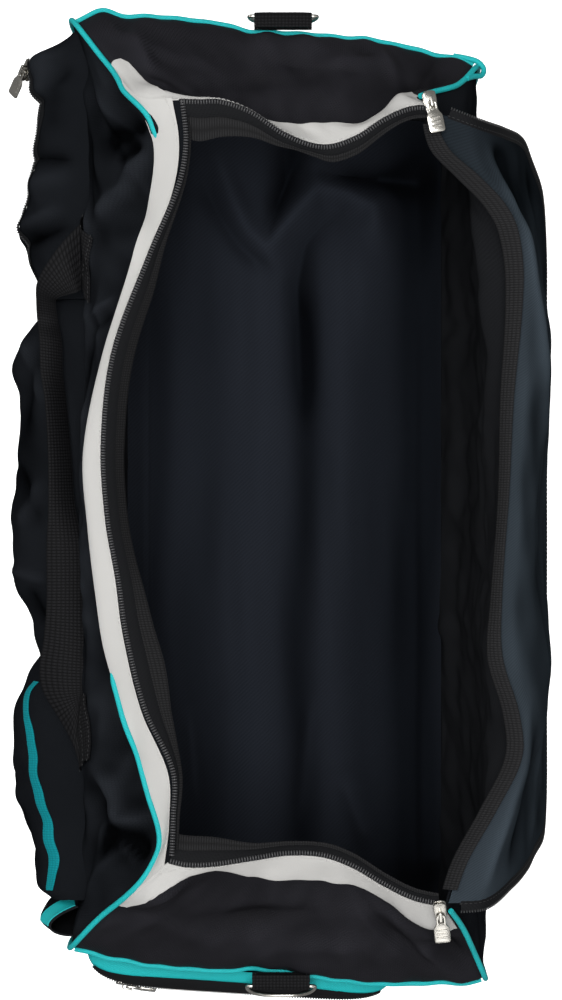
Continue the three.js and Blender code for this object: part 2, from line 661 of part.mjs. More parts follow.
// Piping in the seams
const PIPING_LIFT = PIPING_RADIUS + LAYER_GAP;
const PIPING_SIDES = 5;
const PIPING_ROWS = [0.03, ...LOW_ROWS.slice(1), 0.5, SHOULDER_V, 0.61, 0.66, 0.71, 0.76];
const cornerPoints = (side, t, rows) => rows.map((v) => wall(side, t, v));

// Where the front piping leaves the corner seams and climbs onto the edge of the white facing.
const PIPING_TURN = [
  { t: 0, v: 0.805, lift: 2.6 },
  { t: 0.003, v: 0.85, lift: 4.4 },
  { t: 0.012, v: 0.89, lift: 4.6 },
  { t: 0.028, v: 0.914, lift: 4.2 },
];
const farTurn = PIPING_TURN.map(({ t, v, lift }) => offWall("front", t, v, lift));
const nearTurn = PIPING_TURN.map(({ t, v, lift }) => offWall("front", 1 - t, v, lift)).reverse();
const frontPiping = [
  ...cornerPoints("front", 0, PIPING_ROWS),
  ...farTurn,
  ...columns("front").slice(1, -1).map((t) => offWall("front", t, SEAM.v, PIPING_LIFT)),
  ...nearTurn,
  ...cornerPoints("front", 1, PIPING_ROWS).reverse(),
];
place("front_piping", cord(frontPiping, PIPING_RADIUS, PIPING_SIDES), "turquoise");

for (const [end, t] of [["far", 0], ["near", 1]]) {
  const points = cornerPoints("back", t, [...PIPING_ROWS, 0.8, 0.84, 0.88, 0.91]);
  points.forEach((point, i) => point.setZ(point.z + 3 * smooth((i - PIPING_ROWS.length + 2) / 3)));
  place(`back_piping_${end}`, cord(points, PIPING_RADIUS, PIPING_SIDES), "turquoise");
}

for (const end of ["far", "near"]) {
  const points = [0.024, ...columns(end).slice(1, -1), 0.976].map((t) => wall(end, t, SHOULDER_V));
  place(`${end}_end_piping`, cord(points, PIPING_RADIUS, PIPING_SIDES), "turquoise");
}

// Pockets on the front: pillows that stand off the wall, open towards it
function pillow(b) {
  const place = b ** 0.8;
  return (1 - Math.abs(2 * place - 1) ** 2.6) ** 0.75;
}

function pocketPoint(pocket, a, b) {
  const t = lerp(pocket.tFrom, pocket.tTo, a);
  const v = lerp(pocket.vTop, pocket.vBottom, b);
  const depth = Math.max(follow(pocket.reach, "a", "depth", a), 0) * pillow(b);
  const point = offWall("front", t, v, POCKET_GAP);
  point.x -= depth;
  point.z -= depth * 0.12 * (1 - b);
  return point;
}
for (const [name, pocket] of Object.entries(POCKETS)) {
  const at = (a, b) => pocketPoint(pocket, a, b);
  place(`${name}_pocket`, sheet(at, steps(0, 1, 12), steps(0, 1, 8), 0, -CLOTH), "cloth");
}

// A strip laid on a pocket along rows of places on it.
function pocketStrip(pocket, rows, width, along) {
  const at = (a, b) => {
    const down = follow(rows, "a", "b", a);
    return pocketPoint(pocket, a, down + (b - 0.5) * width);
  };
  const trimmed = (a, b) => at(lerp(rows[0].a, rows[rows.length - 1].a, a), b);
  return sheet(trimmed, steps(0, 1, along), [0, 1], -CLOTH - POCKET_GAP, -TAPE);
}
const NEAR_STRIP = [
  { a: 0.06, b: 0.2 },
  { a: 0.22, b: 0.24 },
  { a: 0.42, b: 0.2 },
  { a: 0.65, b: 0.15 },
  { a: 0.8, b: 0.16 },
  { a: 0.94, b: 0.2 },
];
place("near_pocket_strip", pocketStrip(POCKETS.near, NEAR_STRIP, 0.07, 16), "turquoise");
const FAR_ZIP = [
  { a: 0.08, b: 0.26 },
  { a: 0.3, b: 0.22 },
  { a: 0.6, b: 0.24 },
  { a: 0.84, b: 0.3 },
];
place("far_pocket_zip", pocketStrip(POCKETS.far, FAR_ZIP, 0.08, 16), "tape");

// Bottle pocket on the near front corner: a bag open at its top
function bottlePoint(a, b) {
  const t = lerp(BOTTLE_POCKET.tFrom, BOTTLE_POCKET.tTo, a);
  const v = lerp(BOTTLE_POCKET.vTop, BOTTLE_POCKET.vBottom, b);
  const depth = BOTTLE_POCKET.depth * Math.sin(Math.PI * a) ** 0.7 * (1 - 0.9 * smooth((b - 0.45) / 0.55));
  const point = offWall("front", t, v, POCKET_GAP);
  point.x -= depth;
  point.y -= depth * 0.18;
  return point;
}
place("bottle_pocket", sheet(bottlePoint, steps(0, 1, 8), steps(0, 1, 5), 0, -CLOTH), "cloth");
const bottleRim = (a, b) => bottlePoint(a, lerp(0.01, 0.13, b));
const bottleBinding = sheet(bottleRim, steps(0.04, 0.96, 8), [0, 1], -CLOTH - LAYER_GAP, -TAPE);
place("bottle_pocket_binding", bottleBinding, "turquoise");

// End pocket on the near end
function endPocketPoint(a, b) {
  const t = lerp(END_POCKET.tFrom, END_POCKET.tTo, a);
  const v = lerp(END_POCKET.vTop, END_POCKET.vBottom, b);
  const swell = (1 - Math.abs(2 * a - 1) ** 3.4) ** 0.7 * pillow(b);
  return offWall("near", t, v, POCKET_GAP + END_POCKET.depth * swell);
}
place("end_pocket", sheet(endPocketPoint, steps(0, 1, 12), steps(0, 1, 7), 0, -CLOTH), "turquoise");
const endZip = (a, b) => {
  const along = lerp(0.06, 0.94, a);
  return endPocketPoint(along, 0.2 + 0.1 * (2 * along - 1) ** 4 - 0.06 + (b - 0.5) * 0.08);
};
place("end_pocket_zip", sheet(endZip, steps(0, 1, 16), [0, 1], -CLOTH - LAYER_GAP, -TAPE), "tape");

// Carry handle
function handlePoint(a, b) {
  const t = lerp(HANDLE_ROWS[0].t, HANDLE_ROWS[HANDLE_ROWS.length - 1].t, a);
  const z = follow(HANDLE_ROWS, "t", "z", t);
  const off = follow(HANDLE_ROWS, "t", "off", t);
  const roll = radians(follow(HANDLE_ROWS, "t", "roll", t));
  const centre = wall("front", t, heightAt("front", t, z));
  const across = new THREE.Vector3(-Math.sin(roll), 0, Math.cos(roll));
  centre.x -= off;
  return centre.addScaledVector(across, (b - 0.5) * WEBBING_WIDTH);
}
place("carry_handle", sheet(handlePoint, steps(0, 1, 38), [0, 1], -WEBBING / 2, WEBBING), "webbing");

// Folded webbing tabs and steel dees on the ends
const TAB = { width: 56, reach: 14, height: 9.5 };
const DEE_WIRE = 2;

function tabGeometry() {
  const half = TAB.height / 2;
  const inner = half - WEBBING;
  const profile = new THREE.Shape();
  profile.moveTo(0, half);
  profile.lineTo(TAB.reach - half, half);
  profile.absarc(TAB.reach - half, 0, half, Math.PI / 2, -Math.PI / 2, true);
  profile.lineTo(0, -half);
  profile.lineTo(0, -inner);
  profile.lineTo(TAB.reach - half, -inner);
  profile.absarc(TAB.reach - half, 0, inner, -Math.PI / 2, Math.PI / 2, false);
  profile.lineTo(0, inner);
  profile.closePath();
  const options = { depth: TAB.width, bevelEnabled: false, curveSegments: 5 };
  return new THREE.ExtrudeGeometry(profile, options).translate(0, 0, -TAB.width / 2);
}

// Half of a dee's outline. It hangs down from its straight bar, which is the hinge.
const DEE_HALF = [
  { across: 30, down: 0 },
  { across: 32.4, down: 0.8 },
  { across: 33, down: 3.2 },
  { across: 31.5, down: 12 },
  { across: 27, down: 21 },
  { across: 20, down: 27 },
  { across: 9, down: 30 },
];
function deeGeometry() {
  const right = DEE_HALF.map(({ across, down }) => new THREE.Vector3(across, 0, -down));
  const left = DEE_HALF.map(({ across, down }) => new THREE.Vector3(-across, 0, -down)).reverse();
  return cord([...right, ...left], DEE_WIRE, 6, true);
}

// A tab leans down from level by its tilt, and its dee stands out from hanging straight by its own.
function addTab(end, x, out, z, tilt, deeTilt) {
  const outward = SIDES[end].outward[1];
  const group = new THREE.Group();
  group.position.set(x, out * outward, z);
  group.rotation.set(-radians(tilt) * outward, 0, 0);
  bag.add(group);
  const tab = place(`${end}_tab`, tabGeometry(), "webbing", group);
  const basis = [vec([0, outward, 0]), vec([0, 0, 1]), vec([outward, 0, 0])];
  tab.quaternion.setFromRotationMatrix(new THREE.Matrix4().makeBasis(...basis));
  const dee = place(`${end}_ring`, deeGeometry(), "nickel", group);
  dee.position.set(0, outward * (TAB.reach - TAB.height / 2), 0);
  dee.rotation.set(radians(deeTilt) * outward, 0, 0);
}
addTab("far", 2, 460.5, 249, 6, 6);
addTab("near", 0, 462.5, 250, 6, 36);

// Rolling gear
const AXLE_RADIUS = 4;
const HOUSING = { width: 46, well: 30, clearance: 2.5 };

function wheelRing(inner, outer, width, chamfer) {
  const half = width / 2;
  const profile = [
    [inner, -half], [outer - chamfer, -half], [outer, -half + chamfer],
    [outer, half - chamfer], [outer - chamfer, half], [inner, half], [inner, -half],
  ];
  return new THREE.LatheGeometry(profile.map(([r, y]) => new THREE.Vector2(r, y)), 16).rotateZ(Math.PI / 2);
}

function housingGeometry() {
  const side = flatShape([[-28, 14], [28, 14], [30, 40], [26, 75], [0, 65], [-28, 48]]);
  const block = new THREE.ExtrudeGeometry(side, { depth: HOUSING.width, bevelEnabled: false });
  block.translate(0, 0, -HOUSING.width / 2).rotateX(Math.PI / 2).rotateZ(Math.PI / 2);
  const wellRadius = WHEEL_RADIUS + HOUSING.clearance;
  const well = new THREE.CylinderGeometry(wellRadius, wellRadius, HOUSING.well, 24);
  well.rotateZ(Math.PI / 2).translate(0, 0, WHEEL_RADIUS);
  const axle = new THREE.CylinderGeometry(AXLE_RADIUS, AXLE_RADIUS, HOUSING.well + 4, 12);
  axle.rotateZ(Math.PI / 2).translate(0, 0, WHEEL_RADIUS);
  return geometryOf(solidOf(block).subtract(solidOf(well)).add(solidOf(axle)));
}

for (const [name, x] of [["left", -WHEEL_X], ["right", WHEEL_X]]) {
  const truck = new THREE.Group();
  truck.position.set(x, WHEEL_Y, 0);
  bag.add(truck);
  place(`wheel_housing_${name}`, housingGeometry(), "plastic", truck);
  const wheel = new THREE.Group();
  wheel.position.set(0, 0, WHEEL_RADIUS);
  truck.add(wheel);
  place(`wheel_hub_${name}`, wheelRing(AXLE_RADIUS + 0.4, 17, 22, 2), "plastic", wheel);
  place(`wheel_tyre_${name}`, wheelRing(17.3, WHEEL_RADIUS, 25, 5), "rubber", wheel);
}

const FOOT = { x: 128, y: -362, width: 28, length: 74, taper: 9, height: BASE_Z - BASE_CLOTH - LAYER_GAP };
function footGeometry() {
  const half = FOOT.length / 2;
  const profile = flatShape([
    [-half + FOOT.taper, 0], [half - FOOT.taper, 0], [half, FOOT.taper],
    [half, FOOT.height], [-half, FOOT.height], [-half, FOOT.taper],
  ]);
  const geometry = new THREE.ExtrudeGeometry(profile, { depth: FOOT.width, bevelEnabled: false });
  return geometry.translate(0, 0, -FOOT.width / 2).rotateX(Math.PI / 2).rotateZ(Math.PI / 2);
}
for (const [name, x] of [["left", -FOOT.x], ["right", FOOT.x]]) {
  place(`foot_${name}`, footGeometry(), "plastic").position.set(x, FOOT.y, 0);
}

// Zip sliders, each with an arch that holds the end bar of its pull
const SLIDER = { length: 21, width: 12, height: 6.5 };
const ARCH = { length: 10.4, height: 6.2, post: 1.7, width: 3 };
const TUNNEL_Z = SLIDER.height + (ARCH.height - ARCH.post) / 2;

function sliderGeometry() {
  const half = SLIDER.length / 2;
  const wide = SLIDER.width / 2;
  const outline = flatShape([
    [-wide, half], [-wide, half * 0.2], [-wide * 0.62, -half], [wide * 0.62, -half],
    [wide, half * 0.2], [wide, half], [wide * 0.4, half * 1.12], [-wide * 0.4, half * 1.12],
  ]);
  const body = new THREE.ExtrudeGeometry(outline, { depth: SLIDER.height, bevelEnabled: false });
  const reach = ARCH.length / 2;
  const inner = reach - ARCH.post;
  const under = ARCH.height - ARCH.post;
  const arch = flatShape([
    [-reach, -1], [-reach, ARCH.height - 1.4], [-reach + 1.4, ARCH.height], [reach - 1.4, ARCH.height],
    [reach, ARCH.height - 1.4], [reach, -1], [inner, -1], [inner, under], [-inner, under], [-inner, -1],
  ]);
  const loop = new THREE.ExtrudeGeometry(arch, { depth: ARCH.width, bevelEnabled: false });
  loop.translate(0, 0, -ARCH.width / 2);
  loop.rotateX(Math.PI / 2).rotateZ(Math.PI / 2).translate(0, 0, SLIDER.height);
  return geometryOf(solidOf(body).add(solidOf(loop)));
}

// A pull lies along -Y from its end bar, which is the hinge.
const PULL = { length: 29, width: 15, neck: 9, thickness: 1.8 };
function pullGeometry() {
  const half = PULL.width / 2;
  const neck = PULL.neck / 2;
  const outline = flatShape([
    [-neck, 1.1], [-neck, -9], [-half, -13], [-half, -PULL.length + 5], [-half * 0.45, -PULL.length],
    [half * 0.45, -PULL.length], [half, -PULL.length + 5], [half, -13], [neck, -9], [neck, 1.1],
  ]);
  const eye = flatShape([[-2.5, -1.1], [2.5, -1.1], [2.5, -7.8], [-2.5, -7.8]]);
  outline.holes.push(eye);
  const geometry = new THREE.ExtrudeGeometry(outline, { depth: PULL.thickness, bevelEnabled: false });
  return geometry.translate(0, 0, -PULL.thickness / 2);
}

// A slider and its pull: a point under the slider, the way its pull points, and the way up from the cloth.
function addZipEnd(name, foot, pullWay, up) {
  const z = up.clone().normalize();
  const y = pullWay.clone().multiplyScalar(-1);
  y.addScaledVector(z, -y.dot(z)).normalize();
  const x = new THREE.Vector3().crossVectors(y, z);
  const group = new THREE.Group();
  group.position.copy(foot);
  group.quaternion.setFromRotationMatrix(new THREE.Matrix4().makeBasis(x, y, z));
  bag.add(group);
  place(`${name}_slider`, sliderGeometry(), "nickel", group);
  place(`${name}_pull`, pullGeometry(), "nickel", group).position.set(0, 0, TUNNEL_Z);
}

// Each slider's place: a point of the cloth, an offset from it, the way its pull points and the way up.
const ZIP_ENDS = [
  { name: "mouth_far", at: wall("far", 0.995, 1), by: [-1, 3, 6], pull: [0.2, -1, 0], up: [0.1, 0.1, 1] },
  { name: "mouth_near", at: wall("near", 0.985, 1), by: [-2, -6, 5], pull: [0.1, -1, 0], up: [0, -0.4, 1] },
  {
    name: "far_pocket", at: pocketPoint(POCKETS.far, 0.12, 0.25),
    by: [-6.5, 0, 6.5], pull: [-0.5, -0.9, -0.5], up: [-0.75, 0, 0.75],
  },
  {
    name: "end_pocket", at: endPocketPoint(0.13, 0.2),
    by: [0, -8, 3], pull: [1, -0.05, -0.1], up: [-0.1, -0.95, 0.4],
  },
];
for (const { name, at, by, pull, up } of ZIP_ENDS) addZipEnd(name, at.add(vec(by)), vec(pull), vec(up));

bag.position.set(-CENTRE.x, -CENTRE.y, 0);
export default bag;
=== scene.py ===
"""A soft rolling bag standing open, its lid turned over the back edge: the pieces that are seen.

The tables below are in millimetres on the bag's own axes: +Y runs along the bag to its wheeled far end, -X is the
front with the pockets and +Z is up. A mesh turns them into metres in the row frame.
"""
import json
import math
from collections import namedtuple

import bmesh
import bpy
import numpy as np
from bpy.props import FloatProperty, FloatVectorProperty, PointerProperty
from mathutils import Matrix, Vector


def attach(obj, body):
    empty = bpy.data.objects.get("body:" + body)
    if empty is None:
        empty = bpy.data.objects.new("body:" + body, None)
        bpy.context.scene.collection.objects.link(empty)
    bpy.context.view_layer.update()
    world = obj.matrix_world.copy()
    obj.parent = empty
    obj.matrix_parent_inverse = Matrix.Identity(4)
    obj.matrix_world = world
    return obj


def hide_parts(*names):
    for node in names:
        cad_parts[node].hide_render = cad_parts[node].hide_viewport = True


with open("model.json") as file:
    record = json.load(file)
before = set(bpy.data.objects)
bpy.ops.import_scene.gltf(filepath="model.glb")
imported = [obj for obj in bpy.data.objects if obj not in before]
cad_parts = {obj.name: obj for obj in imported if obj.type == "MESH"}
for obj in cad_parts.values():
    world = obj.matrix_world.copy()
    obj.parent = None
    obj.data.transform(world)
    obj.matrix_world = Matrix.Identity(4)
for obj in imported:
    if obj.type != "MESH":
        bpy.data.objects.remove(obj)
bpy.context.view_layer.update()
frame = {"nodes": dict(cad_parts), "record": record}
HINGES = {joint["child"]: joint for joint in frame["record"]["behaviour"]["joints"]}

bl_info = {
    "name": "Rolling Bag",
    "version": (1, 0, 0),
    "blender": (4, 5, 0),
    "location": "3D View > Sidebar > Rolling Bag",
    "description": "Builds the cloth, trim and fittings of an open rolling bag",
    "category": "Object",
}

MM = 0.001
SHIFT = np.array([-2.4, 8.4, 0.0])

# ---------------------------------------------------------------------------------------------- tables
# Levels up the walls: height v on a wall, the four corners, how far each side's middle bows out, and how flat the
# bow is.
LEVELS = (
    {"v": 0.0, "far_left": (-160, 424, 44), "near_left": (-160, -418, 44), "near_right": (168, -428, 44),
     "far_right": (168, 396, 44), "front": 0, "back": 0, "far": 0, "near": 0, "flatness": 4},
    {"v": 0.26, "far_left": (-196, 454, 135), "near_left": (-198, -430, 135), "near_right": (193, -450, 135),
     "far_right": (191, 414, 135), "front": -4, "back": 2, "far": 10, "near": 8, "flatness": 4},
    {"v": 0.56, "far_left": (-202, 466, 240), "near_left": (-204, -435, 240), "near_right": (198, -465, 240),
     "far_right": (190, 421, 240), "front": -14, "back": 2, "far": 13, "near": 12, "flatness": 6},
    {"v": 0.76, "far_left": (-160, 409, 284), "near_left": (-168, -394, 284), "near_right": (182, -428, 284),
     "far_right": (166, 394, 284), "front": 25, "back": 26, "far": 12, "near": 3, "flatness": 2.4},
)
# The seam of the white facing and the zip line at the mouth.
SEAM = {"v": 0.92, "far_left": (-131, 375, 318), "near_left": (-129.5, -362, 318), "near_right": (168, -398, 315),
        "far_right": (128, 376, 318)}
ZIP = {"v": 1.0, "far_left": (-93, 372, 334), "near_left": (-103, -337, 334), "near_right": (153, -375, 338),
       "far_right": (140, 363, 338)}
# Place t along a side, then how far the seam and the zip line stand out from straight, and rise.
TOP_EDGES = {  # t, seam out, seam rise, zip out, zip rise
    "front": ((0, 0, 0, 0, 0), (.055, -16, 1, -4, 0), (.11, -11, 1, 2, -1), (.2, 10, 0, 28, -4), (.33, 38, -3, 61, -8),
              (.45, 54, -6, 70, -11), (.55, 49, -6, 65, -11), (.63, 42, -5, 54, -10), (.7, 34, -4, 46, -8),
              (.8, 13, -1, 27, -4), (.88, -5, 0, 0, -1), (.945, -17, 1, -1, 0), (1, 0, 0, 0, 0)),
    "back": ((0, 0, 0, 0, 0), (.05, 12, 0, 13, 0), (.085, 33, 1, 37, 0), (.12, 53, 1, 58, -1), (.155, 66, 1, 69, -1),
             (.22, 76, 0, 75, -2), (.36, 65, -1, 65, -4), (.49, 56, -2, 60, -5), (.62, 43, -2, 51, -5),
             (.69, 39, -1, 49, -4), (.76, 51, 0, 63, -3), (.815, 53, 0, 65, -2), (.88, 29, 0, 42, -1),
             (.945, 6, 0, 15, 0), (1, 0, 0, 0, 0)),
    "far": ((0, 0, 0, 0, 0), (.07, 7, 0, 0, 0), (.16, 5, -2, 1, -2), (.28, -4, -6, -7, -6), (.42, -14, -10, -26, -13),
            (.57, -18, -12, -35, -17), (.7, -21, -10, -26, -14), (.8, -21, -6, -11, -8), (.88, -10, -3, -2, -3),
            (.94, 5, 0, 1, 0), (1, 0, 0, 0, 0)),
    "near": ((0, 0, 0, 0, 0), (.06, 11, 0, 1, 0), (.16, -6, -3, -3, -3), (.3, -14, -7, -13, -8),
             (.43, -17, -9, -22, -13), (.56, -20, -10, -25, -14), (.67, -20, -8, -19.5, -10), (.78, -9, -4, -8, -5),
             (.89, 6, 0, 0, 0), (1, 0, 0, 0, 0)),
}
SLIDER_ENDS = {"front": (), "back": (0, 1), "far": (1,), "near": (1,)}  # where the zip line rises to a slider
SLIDER_RISE, SLIDER_RUN = 7, 28
Side = namedtuple("Side", "start end out turn length")  # corners it runs between, way out, turn of its face, length
SIDES = {
    "front": Side("far_left", "near_left", (-1, 0, 0), 1, 900),
    "back": Side("far_right", "near_right", (1, 0, 0), -1, 880),
    "far": Side("far_left", "far_right", (0, 1, 0), -1, 400),
    "near": Side("near_left", "near_right", (0, -1, 0), 1, 405),
}
WALL_HEIGHT = 330
SHOULDER_V = 0.56
PROBE = .004  # step in t and v that a wall's slope is taken over
WAVES = 16  # in one random swell
KINKS = {"front": (), "back": (), "far": ((.065, .035, 7), (.0, .02, -3)), "near": ()}  # t, half width, reach
# Broad creases and swells of the walls, then the finer ones: t, v, half length, half width, slant, height.
FOLDS = {
    "front": ((.115, .8, 62, 15, 52, -9), (.16, .83, 60, 18, 48, 6), (.06, .66, 70, 17, 62, -8),
              (.31, .8, 40, 20, 30, -6), (.87, .79, 58, 16, -50, -9), (.92, .66, 66, 18, -60, -8),
              (.82, .82, 52, 18, -46, 6)),
    "back": ((.66, .88, 46, 30, 80, -6), (.3, .4, 120, 50, 70, 5), (.62, .4, 120, 46, 100, -6)),
    "far": ((.5, .76, 110, 40, 0, -5), (.88, .8, 44, 15, 60, -6)),
    "near": ((.5, .74, 110, 40, 0, -4), (.8, .76, 50, 16, -40, -6)),
}
FINE_FOLDS = {
    "front": ((.1, .86, 34, 6, 40, 3), (.135, .74, 40, 7, 60, -3), (.2, .72, 46, 8, 25, 3), (.28, .84, 30, 6, 10, 2.4),
              (.335, .78, 34, 7, -20, -3), (.37, .84, 40, 7, 8, 2), (.46, .72, 60, 9, 4, -2.5),
              (.6, .8, 60, 9, -6, 2.5), (.7, .76, 44, 8, -25, -2.5), (.78, .84, 40, 7, -15, 2),
              (.845, .86, 30, 6, -40, 3), (.89, .73, 40, 7, -55, -3), (.94, .8, 36, 6, -70, 2.5),
              (.05, .8, 40, 6, 75, 2.5)),
    "back": ((.12, .7, 60, 10, 60, 3), (.4, .75, 70, 12, 80, -3), (.55, .62, 70, 12, 95, 3), (.75, .7, 60, 11, 100, -3),
             (.9, .7, 50, 9, 110, 3)),
    "far": ((.2, .72, 60, 10, 20, 3), (.35, .82, 60, 9, -8, -2.5), (.66, .72, 50, 9, -14, 3), (.8, .7, 46, 7, 55, 3.5),
            (.93, .72, 34, 6, 70, -3), (.1, .8, 40, 7, 40, -2.5), (.5, .3, 90, 16, 12, 3), (.25, .2, 70, 12, 60, -3)),
    "near": ((.18, .74, 60, 10, -18, 3), (.36, .8, 60, 9, 8, -2.5), (.62, .72, 50, 9, 10, 3),
             (.73, .8, 44, 7, -48, 3.5), (.87, .72, 40, 7, -55, 3), (.93, .8, 34, 6, -60, -3), (.9, .3, 60, 12, 70, 3)),
}
# Creases as seen from above: half width (or that at each end), height, and the line that each follows.
CREASES = {
    "front": ((8, 11, ((-180, 256), (-148, 304), (-114, 337))), (12, -11, ((-184, 345), (-118, 351))),
              (7, -7, ((-164, 322), (-130, 335))), (4, 5, ((-189, 171), (-150, 194))),
              (4, -5, ((-182, 159), (-156, 177))), (6, -4, ((-193, 402), (-181, 256))),
              (6, 3, ((-183, 150), (-187, 0), (-184, -150))), (8, 9, ((-182, -242), (-158, -303), (-114, -299))),
              (14, -14, ((-180, -311), (-120, -336))), (6, -7, ((-178, -248), (-172, -354))),
              (5, 6, ((-165, -314), (-134, -347)))),
    "back": (),
    "far": ((7, -7, ((155, 438), (107, 373))), (9, 5, ((-147, 466), (-122, 392))), (12, 4, ((-40, 452), (60, 432))),
            (9, -4, ((-20, 425), (90, 408)))),
    "near": ((9, 6, ((78, -362), (160, -452))), (7, -6, ((106, -363), (178, -442))), (11, 4, ((-90, -430), (10, -412))),
             (8, -4, ((-60, -400), (40, -392)))),
    "floor": (((5, 34), -15, ((-20, 268), (6, 340), (34, 470))), ((8, 17), -12, ((36, 350), (100, 342), (200, 334))),
              (13, 8, ((-30, 250), (16, 312), (40, 333), (69, 327), (98, 314), (106, 250))),
              ((11, 20), -7, ((78, 318), (40, 292), (26, 270), (18, 230), (24, 60))),
              (9, -5, ((-92, 354), (-64, 300), (-44, 271), (4, 234))),
              (11, 5, ((-78, 382), (-50, 320), (-37, 292), (-2, 240))), (9, 4, ((64, -290), (93, -372))),
              (8, 3, ((18, -360), (33, -200))), (8, 3, ((-88, -335), (-98, -215))),
              (2.2, 2.2, ((-142, 300), (-142, -280)))),
    "far_pouch": ((7, -8, ((-256, 341), (-190, 329))), (10, 5, ((-256, 313), (-190, 318))),
                  (8, -8, ((-264, 253), (-194, 271))), (7, 6, ((-272, 265), (-206, 288))),
                  (6, -6, ((-196, 428), (-248, 388))), (16, 14, ((-236, 452), (-238, 392)))),
    "middle_pouch": ((5, 5, ((-273, -69), (-226, -80))), (7, -8, ((-236, 158), (-262, 60))),
                     (6, 6, ((-257, 170), (-230, 88))), (8, -9, ((-254, -83), (-230, -127))),
                     (9, -6, ((-267, 42), (-235, -32))), (7, 5, ((-262, -30), (-234, 24)))),
    "near_pouch": ((6, -5, ((-214, -250), (-180, -344))), (4, 3, ((-212, -262), (-186, -326))),
                   (8, -4, ((-262, -296), (-244, -366)))),
    "lid": ((6, 8, ((187, 370), (196, 320), (224, 261), (244, 164), (253, 97), (257, 20))),
            (7, -9, ((201, 345), (236, 247))), (6, 7, ((235, -170), (211, -290), (178, -390))),
            (6, -7, ((246, -195), (233, -292), (214, -368))), (5, 5, ((260, -225), (248, -355)))),
}
CREASE_FADE = .28  # part of a crease over which each of its ends fades
# Steps along the floor: X where each starts, width, rise, how much painted shade darkens the cloth there, and the Y it
# runs to.
FLOOR_STEPS = ((-150, 34, -4, .5, 300), (-110, 60, -5, .4, 300), (0, 48, 10, .85, 300), (60, 50, 3, .45, 260),
               (100, 90, 9, 1.15, 470))
FLOOR = {"gap": .5, "lift": 6.5, "below": 2.5, "belly": 11, "turn_up": 8, "far_rise": 3.5, "crease_depth": 15}
FLOOR_SWAY = ((5, 140, 0), (2.5, 52, 1))  # how the steps wander: reach, length, start
PANEL_GAP = .1  # at the corners
KICK = {"from": 330, "length": 94, "height": 38}

# The white facing: t along a side, then v at its outer edge, and at its inner one.
FACING = {
    "far": ((-.01, .75), (.013, .736), (.039, .731), (.054, .742), (.06, .768), (.067, .83),
            (.071, .925), (.085, .965), (.1, .982), (.2, .99), (.25, .978), (.3, .95), (.36, .935), (.45, .93),
            (.6, .923), (.75, .92), (.86, .925), (.9, .91), (.93, .89), (.96, .885),
            (.975, .9)),
    "front": ((-.01, .79), (.003, .85), (.01, .889), (.024, .904), (.042, .903), (.056, .908), (.1, .915),
              (.14, .922), (.2, .936), (.28, .938), (.36, .93), (.45, .922), (.55, .916),
              (.9, .916), (.96, .915), (.98, .913), (.993, .903), (.998, .88), (1.01, .83)),
    "near": ((-.01, .82), (.015, .815), (.027, .822), (.0295, .866), (.032, .909),
             (.038, .937), (.051, .957), (.07, .97), (.096, .978), (.18, .98), (.26, .96), (.32, .94), (.42, .93),
             (.6, .925), (.7, .94), (.8, .93), (.9, .91), (.95, .89), (.975, .9)),
}
FACING_INNER = {
    "far": ((0, .998), (1, .998)),
    "front": ((.056, .985), (.1, .99), (.14, .998), (.55, .998), (.9, .99), (.96, .985)),
    "near": ((0, .998), (1, .998)),
}
# The strips inside the mouth: t, how far in and down the zip tape ends, then the bound seam.
LIP = {
    "far": ((0, 13, 3, 33, 9), (.08, 15, 3, 36, 9), (.2, 13, 4, 29, 9), (.34, 10, 4, 18, 8), (.45, 7, 3, 10, 6),
            (.53, 6, 3, 10, 6), (.62, 9, 3, 15, 7), (.75, 9, 3, 15, 7), (.88, 7, 3, 11, 5), (1, 6, 3, 9, 5)),
    "front": ((0, 3, 1.5, 5, 3), (.1, 4, 1.5, 6, 4), (.16, 6, 3, 9, 6), (.2, 7, 4, 12, 9), (.26, 11, 4, 18, 12),
              (.4, 12, 5, 19.5, 14), (.6, 12, 5, 19.5, 14), (.69, 14, 5, 27, 12), (.75, 15, 5, 30, 12),
              (.81, 13, 5, 23, 10), (.87, 6, 3, 10, 7), (.93, 4, 2, 7, 4), (1, 4, 2, 6, 4)),
    "near": ((0, 13, 3, 27, 9), (.15, 13, 3, 25, 9), (.3, 8, 4, 14, 7), (.45, 7, 4, 11, 6), (.65, 8, 4, 12, 6),
             (.85, 6, 3, 10, 5), (1, 6, 3, 9, 5)),
}
FACING_LIFT = .9
CORD_UNDER = (.04, .745)  # t between which the front cord runs under the facing
MOUTH_ENDS = {"far": .995, "front": 1.0, "near": .985}
HINGE_STRIP = ((.02, -13, -1), (.06, -16, 2), (.085, -16, 5), (.12, -12, 8), (.155, -9, 9), (.22, -9, 7), (.32, -6, 7),
               (.52, -4, 5), (.62, -4, 6), (.7, -6, 8), (.8, -7, 8), (.88, -8, 7), (.98, -8, 5))  # t, left, right

# The lid from hinge to free edge: s, part of the way out, part of the drop, reach beyond the hinge's ends.
LID_ROWS = ((0, 0, 0, -2, -2), (.1, .28, .015, -17, -4), (.24, .5, .16, -18, -14), (.5, .7, .46, -12, -15),
            (.65, .8, .63, -24, -20), (.8, .91, .8, -44, -26), (1, 1, 1, -74, -36))
LID_FALL_X = 287
LID_EDGE_Z = 14
LID_CORNER = .2
LID_DROP = 360
LID_WAY = np.array([.6, 0, .8])  # the way its creases stand out
LID_SWELLS = ((.14, .42, .08, .4, -9), (.3, .5, .12, .5, 5), (.52, .5, .1, .6, -5), (.7, .45, .09, .5, 6),
              (.86, .45, .06, .4, -8))  # t, s, along, across, height

